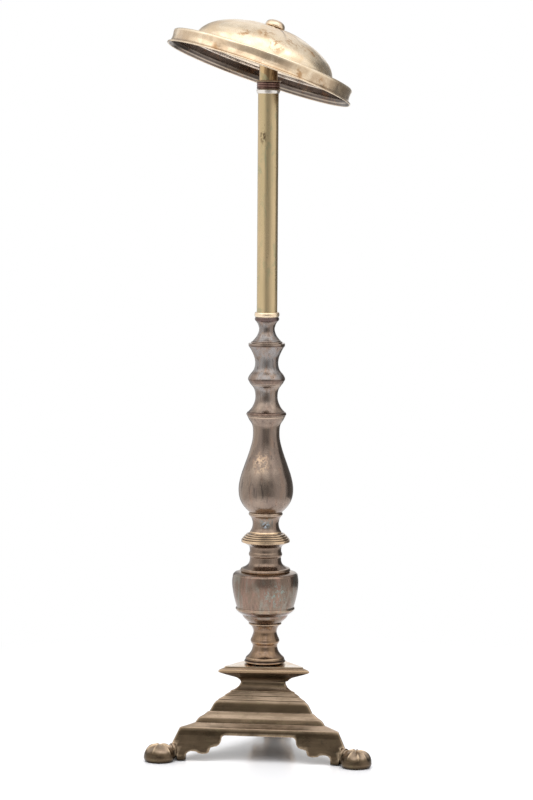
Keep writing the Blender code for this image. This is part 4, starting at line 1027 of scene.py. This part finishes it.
# %% [markdown]
# The knob is a solid button that screws down on the crown. Its edge is eased by years of fingers, and a shallow
# hollow ring round its foot keeps it from scratching the dome.

# %% Knob
KNOB_Z = TOP_Z + 0.3
KNOB_R = 9.2
STUD_DEEP = 4.7
KNOB_SIDES = 72
knob_rows = (
    ((8.1, 0.0), (8.9, 0.25), (KNOB_R, 0.9), (KNOB_R, 1.9)),
    ((9.0, 2.2), (8.7, 3.3), (7.6, 4.8), (5.7, 5.95), (3.4, 6.7), (0.0, 6.9)),
)
knob_outline = points((0, STUD_DEEP * MM), (STUD_HOLE * MM, STUD_DEEP * MM), (STUD_HOLE * MM, 0))
knob_outline += outside_of(knob_rows)
knob_mesh = sweep([p + Vector((0, KNOB_Z * MM)) for p in knob_outline], KNOB_SIDES)
ripple(knob_mesh, 0.06 * MM, 6 * MM, 4)
finish_piece("crown_knob", knob_mesh, "head", POLISHED, ["knob_nut"], HEAD)
print("knob", 2 * KNOB_R, "mm across")

# %% [markdown]
# ## The base
#
# The base was cast hollow in sand, from a carved pattern: a triangle that steps and curves outwards from a narrow
# neck. A stack of rounded triangles, each with a corner distance and a height, gives its outside. The hollow, the
# scalloped openings and the seats for the feet are then cut away, as a founder's core and files would do.

# %% Stack of triangles
BEARINGS = {"front_right": radians(-30), "back": radians(90), "front_left": radians(210)}
CORNER_ROUND = 1.6
CORNER_STEPS = 6
SIDE_STEPS = 34


def toward(bearing):
    return Vector((cos(bearing), sin(bearing)))


def rounded_triangle(corner):
    """A loop with its corners at this distance from the axis, in millimetres, and points all along its sides."""
    arcs = []
    for bearing in BEARINGS.values():
        middle = toward(bearing) * (corner - CORNER_ROUND)
        turns = [bearing + radians(60) * (2 * i / CORNER_STEPS - 1) for i in range(CORNER_STEPS + 1)]
        arcs.append([middle + toward(turn) * CORNER_ROUND for turn in turns])
    loop = []
    for here, after in zip(arcs, arcs[1:] + arcs[:1]):
        loop += here + [here[-1].lerp(after[0], i / SIDE_STEPS) for i in range(1, SIDE_STEPS)]
    return loop


def skin(loops):
    """A closed skin through loops of equal count, each a list of places in millimetres."""
    mesh = bmesh.new()
    rings = [[mesh.verts.new((x * MM, y * MM, z * MM)) for x, y, z in loop] for loop in loops]
    for low, high in zip(rings, rings[1:]):
        for i in range(len(low)):
            j = (i + 1) % len(low)
            mesh.faces.new((low[i], low[j], high[j], high[i]))
    mesh.faces.new(rings[0])
    mesh.faces.new(rings[-1])
    bmesh.ops.recalc_face_normals(mesh, faces=mesh.faces)
    return mesh


def loft(levels):
    """A closed skin through (loop, height) pairs."""
    return skin([[(x, y, height) for x, y in loop] for loop, height in levels])


BASE_ROWS = (
    ((24.4, 69.7), (24.0, 68.2), (25.8, 65.2), (29.0, 62.9), (32.4, 61.5)),
    ((34.2, 61.2), (34.6, 60.2)),
    ((37.8, 58.6), (39.8, 57.6)),
    ((40.2, 56.8), (44.0, 55.0)),
    ((46.4, 54.0), (46.6, 53.4)),
    ((46.6, 53.4), (50.2, 50.8), (53.4, 46.2), (55.2, 43.3)),
    ((57.4, 42.7), (61.0, 40.2), (65.4, 38.2), (68.0, 35.8), (69.6, 33.6)),
    ((72.4, 32.9), (78.6, 31.3), (83.8, 30.4), (85.2, 29.6)),
)
APRON_SPLAY = 0.54
APRON_LOW = 1.0
APRON_STEPS = 11
BASE_EASE = 0.45


def base_outline():
    """Corner distance and height in millimetres, from the neck down to the apron's foot."""
    outside = [p / MM for p in outside_of(BASE_ROWS, BASE_EASE * MM)]
    edge = outside[-1]
    foot = Vector((edge.x + APRON_SPLAY * (edge.y - APRON_LOW), APRON_LOW))
    return outside + [edge.lerp(foot, i / APRON_STEPS) for i in range(1, APRON_STEPS + 1)]


base_levels = base_outline()[::-1]
print("base outside has", len(base_levels), "levels")

# %% Cutting tools
NECK_Z = 8.6
LEG_CUT = 90.24
LEG_PAD = 8.8
WALL = 3.6
CEILING = 59.5
HOLLOW_LEVELS = (-5.0, 17.0, 26.0, 31.0, 37.0, 42.0, 50.0, 56.0)
PAD_TOP = 17.0
CORNER_METAL = 13.0
SCREW_BORE = 2.2
PAST = 5.0


def corner_at(height):
    """The outside's corner distance at a height."""
    for low, high in zip(base_levels, base_levels[1:]):
        if height <= high.y:
            share = max(height - low.y, 0) / max(high.y - low.y, 1e-6)
            return low.x + (high.x - low.x) * share
    return base_levels[-1].x


def cropped_triangle(side, corner):
    half = (2 * side - corner) * tan(radians(30))
    loop = []
    for bearing in BEARINGS.values():
        out, along = toward(bearing), toward(bearing + pi / 2)
        loop += [out * corner - along * half, out * corner + along * half]
    return loop


def hollow():
    loops = []
    for height in HOLLOW_LEVELS:
        outside = min(corner_at(height), corner_at(height + WALL))
        pad = LEG_CUT - LEG_PAD
        corner = pad if height <= PAD_TOP else min(pad, outside - CORNER_METAL)
        loops.append((cropped_triangle((outside + CORNER_ROUND) / 2 - WALL, corner), height))
    return loft(loops + [(loops[-1][0], CEILING)])


ARCH = ((31.0, 24.0), (34.8, 20.0), (41.0, 13.8), (44.4, 12.8), (45.6, 9.4), (51.0, 7.2), (61.6, 9.2))
LEG_EDGE = 67.3
ARCH_INSIDE = 36.3


def quarter(start, end, level_first, steps=7):
    """A quarter of an ellipse between two points, leaving level or upright."""
    curve = []
    for i in range(1, steps + 1):
        fast, slow = sin(radians(90 * i / steps)), 1 - cos(radians(90 * i / steps))
        along, up = (fast, slow) if level_first else (slow, fast)
        curve.append((start[0] + (end[0] - start[0]) * along, start[1] + (end[1] - start[1]) * up))
    return curve


def arch():
    """The scalloped opening under one side, as a bar that points along local X."""
    top, shoulder, cove, notch, lobe, low, hollow_top = ARCH
    middle = ((low[0] + hollow_top[0]) / 2, (low[1] + hollow_top[1]) / 2)
    half = [top] + quarter(top, shoulder, True) + quarter(shoulder, cove, False) + [notch, lobe]
    half += quarter(lobe, low, False) + quarter(low, middle, True, 4) + quarter(middle, hollow_top, False, 4)
    half += quarter(hollow_top, (LEG_EDGE, hollow_top[1] / 2), True) + [(LEG_EDGE, -PAST)]
    outline = half + [(-x, z) for x, z in reversed(half)]
    return skin([[(x, y, z) for y, z in outline] for x in (ARCH_INSIDE, LEG_CUT)])


def turn_mesh(mesh, angle, axis):
    bmesh.ops.rotate(mesh, verts=mesh.verts, matrix=Matrix.Rotation(angle, 3, axis))
    return mesh


def bar(radius, low, high, sides=24):
    """A round bar between two heights."""
    return sweep([Vector(p) * MM for p in ((0, low), (radius, low), (radius, high), (0, high))], sides)


def screw_hole(start, end):
    """A bar along X, to cut the hole for a foot's screw."""
    return turn_mesh(bar(SCREW_BORE, start, end, 16), pi / 2, "Y")


def box_mesh(low, high):
    mesh = bmesh.new()
    bmesh.ops.create_cube(mesh, size=1.0)
    low, high = Vector(low) * MM, Vector(high) * MM
    bmesh.ops.scale(mesh, vec=high - low, verts=mesh.verts)
    bmesh.ops.translate(mesh, vec=(low + high) / 2, verts=mesh.verts)
    return mesh


def carve(mesh, tools):
    """Cut or weld a list of (tool mesh, operation, matrix) and return the new mesh."""
    def hold(part, matrix=None):
        data = bpy.data.meshes.new("blank")
        part.to_mesh(data)
        part.free()
        made = add_object("blank", data)
        made.matrix_world = matrix if matrix is not None else Matrix.Identity(4)
        return made

    body = hold(mesh)
    held = [hold(tool, matrix) for tool, operation, matrix in tools]
    for (tool, operation, matrix), other in zip(tools, held):
        step = body.modifiers.new("cut", "BOOLEAN")
        step.operation, step.solver, step.object = operation, "EXACT", other
    bpy.context.view_layer.update()
    cut = bmesh.new()
    cut.from_mesh(body.evaluated_get(bpy.context.evaluated_depsgraph_get()).data)
    for thing in [body] + held:
        bpy.data.objects.remove(thing, do_unlink=True)
    return cut


print("arch is", 2 * ARCH[0][0], "mm wide at its top")

# %% Cast the base
def spin_z(angle, place=(0, 0, 0)):
    return Matrix.Translation(Vector(place) * MM) @ Matrix.Rotation(angle, 4, "Z")


SEAT_HALF = 45.0
SEAT_TOP = 16.1
casting = loft([(rounded_triangle(level.x), level.y) for level in base_levels])
cuts = [(hollow(), None), (bar(ROD_BORE, CEILING - PAST, base_levels[-1].y + PAST), None)]
for bearing in BEARINGS.values():
    cuts.append((arch(), spin_z(bearing + radians(60))))
    cuts.append((box_mesh((LEG_CUT, -SEAT_HALF, -PAST), (LEG_CUT * 1.5, SEAT_HALF, SEAT_TOP)), spin_z(bearing)))
    cuts.append((screw_hole(LEG_CUT - LEG_PAD - PAST, LEG_CUT + PAST), spin_z(bearing, (0, 0, NECK_Z))))
casting = carve(casting, [(tool, "DIFFERENCE", matrix) for tool, matrix in cuts])
ripple(casting, 0.16 * MM, 13 * MM, 2)
finish_piece("cast_base", casting, "stand", OLIVE, ["base_casting"])
print("base cast, with three openings and three foot seats")

# %% Plate on the base
PLATE_TURN = radians(4.5)
PLATE_EASE = 0.35
PLATE_TALL = 14.9
PLATE_ROWS = (
    ((25.4, 0.0), (26.8, 1.6), (30.4, 3.7), (36.8, 5.8), (43.2, 7.9), (47.8, 9.6)),
    ((48.6, 10.3), (48.6, 11.0)),
    ((47.2, 12.3), (43.4, 13.4)),
    ((42.0, 13.6), (41.8, PLATE_TALL)),
)
plate_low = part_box("base_plate")[0].z / MM
plate_levels = outside_of(PLATE_ROWS, PLATE_EASE * MM)
plate = loft([(rounded_triangle(p.x / MM), plate_low + p.y / MM) for p in plate_levels])
plate = carve(plate, [(bar(ROD_BORE, plate_low - PAST, plate_low + PLATE_TALL + PAST), "DIFFERENCE", None)])
plate = turn_mesh(plate, PLATE_TURN, "Z")
ripple(plate, 0.09 * MM, 12 * MM, 5)
finish_piece("cast_plate", plate, "stand", OLIVE, ["base_plate"])
print("plate stands on the neck, turned", round(PLATE_TURN * 180 / pi, 1), "degrees")

# %% [markdown]
# Each foot is a low bun with a fluted top, held by a screw from inside the leg. The flutes run out from a small
# hollow and die away down the side, and their ridges have been rubbed nearly bare, with a painted highlight along
# them.

# %% Feet
FOOT_R = 14.4
FOOT_TALL = 16.6
FOOT_PAD = 12.4
FOOT_BELLY = 3.0
SQUARENESS = 2.5
FLUTES = 7
FLUTE_DEPTH = 1.9
FOOT_CIRCLE = 105.34
SCREW_REACH = 12.6


def bun():
    outline = [Vector((0, 0)), Vector((6, 0)), Vector((FOOT_PAD - 0.5, 0)), Vector((FOOT_PAD + 0.6, 0.25))]
    for i in range(27):
        angle = radians(90) * i / 27
        across, up = cos(angle) ** (2 / SQUARENESS), sin(angle) ** (2 / SQUARENESS)
        outline.append(Vector((FOOT_R * across, FOOT_BELLY + (FOOT_TALL - FOOT_BELLY) * up)))
    mesh = sweep([p * MM for p in outline + [Vector((0, FOOT_TALL))]], 96)
    for vertex in mesh.verts:
        x, y, z = vertex.co / MM
        radius = hypot(x, y)
        if z < FOOT_BELLY + 2:
            continue
        turn = atan2(y, x) + 0.25 * sin(2 * atan2(y, x) + 1)
        groove = abs(sin(FLUTES * turn / 2)) ** 0.7
        along = min(max((radius - 1.0) / 3, 0), 1) * min(max((z - FOOT_BELLY - 2) / 8, 0), 1)
        hollow_top = 0.9 * exp(-(radius / 2.6) ** 2)
        vertex.co.z -= (FLUTE_DEPTH * groove * along + hollow_top) * MM
    return mesh


def foot_neck():
    """The turned neck and bead between bun and leg, laid along X from the leg outwards."""
    start, end = LEG_CUT + 0.3, FOOT_CIRCLE - FOOT_R / 2
    rows = (((0.0, start), (6.2, start)), ((6.2, start), (7.0, start + 0.7), (7.2, start + 1.8), (6.9, start + 3.0)),
            ((5.8, start + 3.6), (5.6, start + 4.6), (5.9, end)), ((5.9, end), (0.0, end)))
    return turn_mesh(sweep(outside_of(rows), 48), pi / 2, "Y")


for name, bearing in BEARINGS.items():
    at_neck = Matrix.Translation((-FOOT_CIRCLE * MM, 0, NECK_Z * MM))
    hole = screw_hole(LEG_CUT - PAST, LEG_CUT + SCREW_REACH)
    foot = carve(bun(), [(foot_neck(), "UNION", at_neck), (hole, "DIFFERENCE", at_neck)])
    ripple(foot, 0.12 * MM, 8 * MM, len(name))
    for vertex in foot.verts:
        vertex.co.z = max(vertex.co.z, 0)
    centre = column + toward(bearing).to_3d() * FOOT_CIRCLE * MM
    finish_piece("bun_foot_" + name, foot, "stand", OLIVE, ["foot_" + name],
                 Matrix.Translation(centre) @ Matrix.Rotation(bearing, 4, "Z"))
print("three feet stand on a circle", 2 * FOOT_CIRCLE, "mm across")

# %% [markdown]
# ## Fixings
#
# The rod, its nut and washer, the foot screws and the knuckle under the cap are plain work that already has its
# right shape in the frame. They need only a broken edge, which a bevel gives, and the finish of their metal.

# %% Fixings and knuckle
BROKEN_EDGE = 0.25 * MM
FIXINGS = {
    "tie_rod": IRON, "tie_washer": IRON, "tie_nut": IRON, "foot_screw_front_right": IRON, "foot_screw_back": IRON,
    "foot_screw_front_left": IRON, "pivot_bolt": IRON, "post_fork": TUBE, "wing_nut": TUBE, "head_tongue": TUBE,
}
for name, metal in FIXINGS.items():
    piece = frame["nodes"][name]
    piece.material_slots[0].material = metal
    edge = piece.modifiers.new("broken_edge", "BEVEL")
    edge.width = BROKEN_EDGE
    edge.segments = 2
    edge.limit_method = "ANGLE"
    edge.angle_limit = radians(40)
print(len(FIXINGS), "fixings finished")
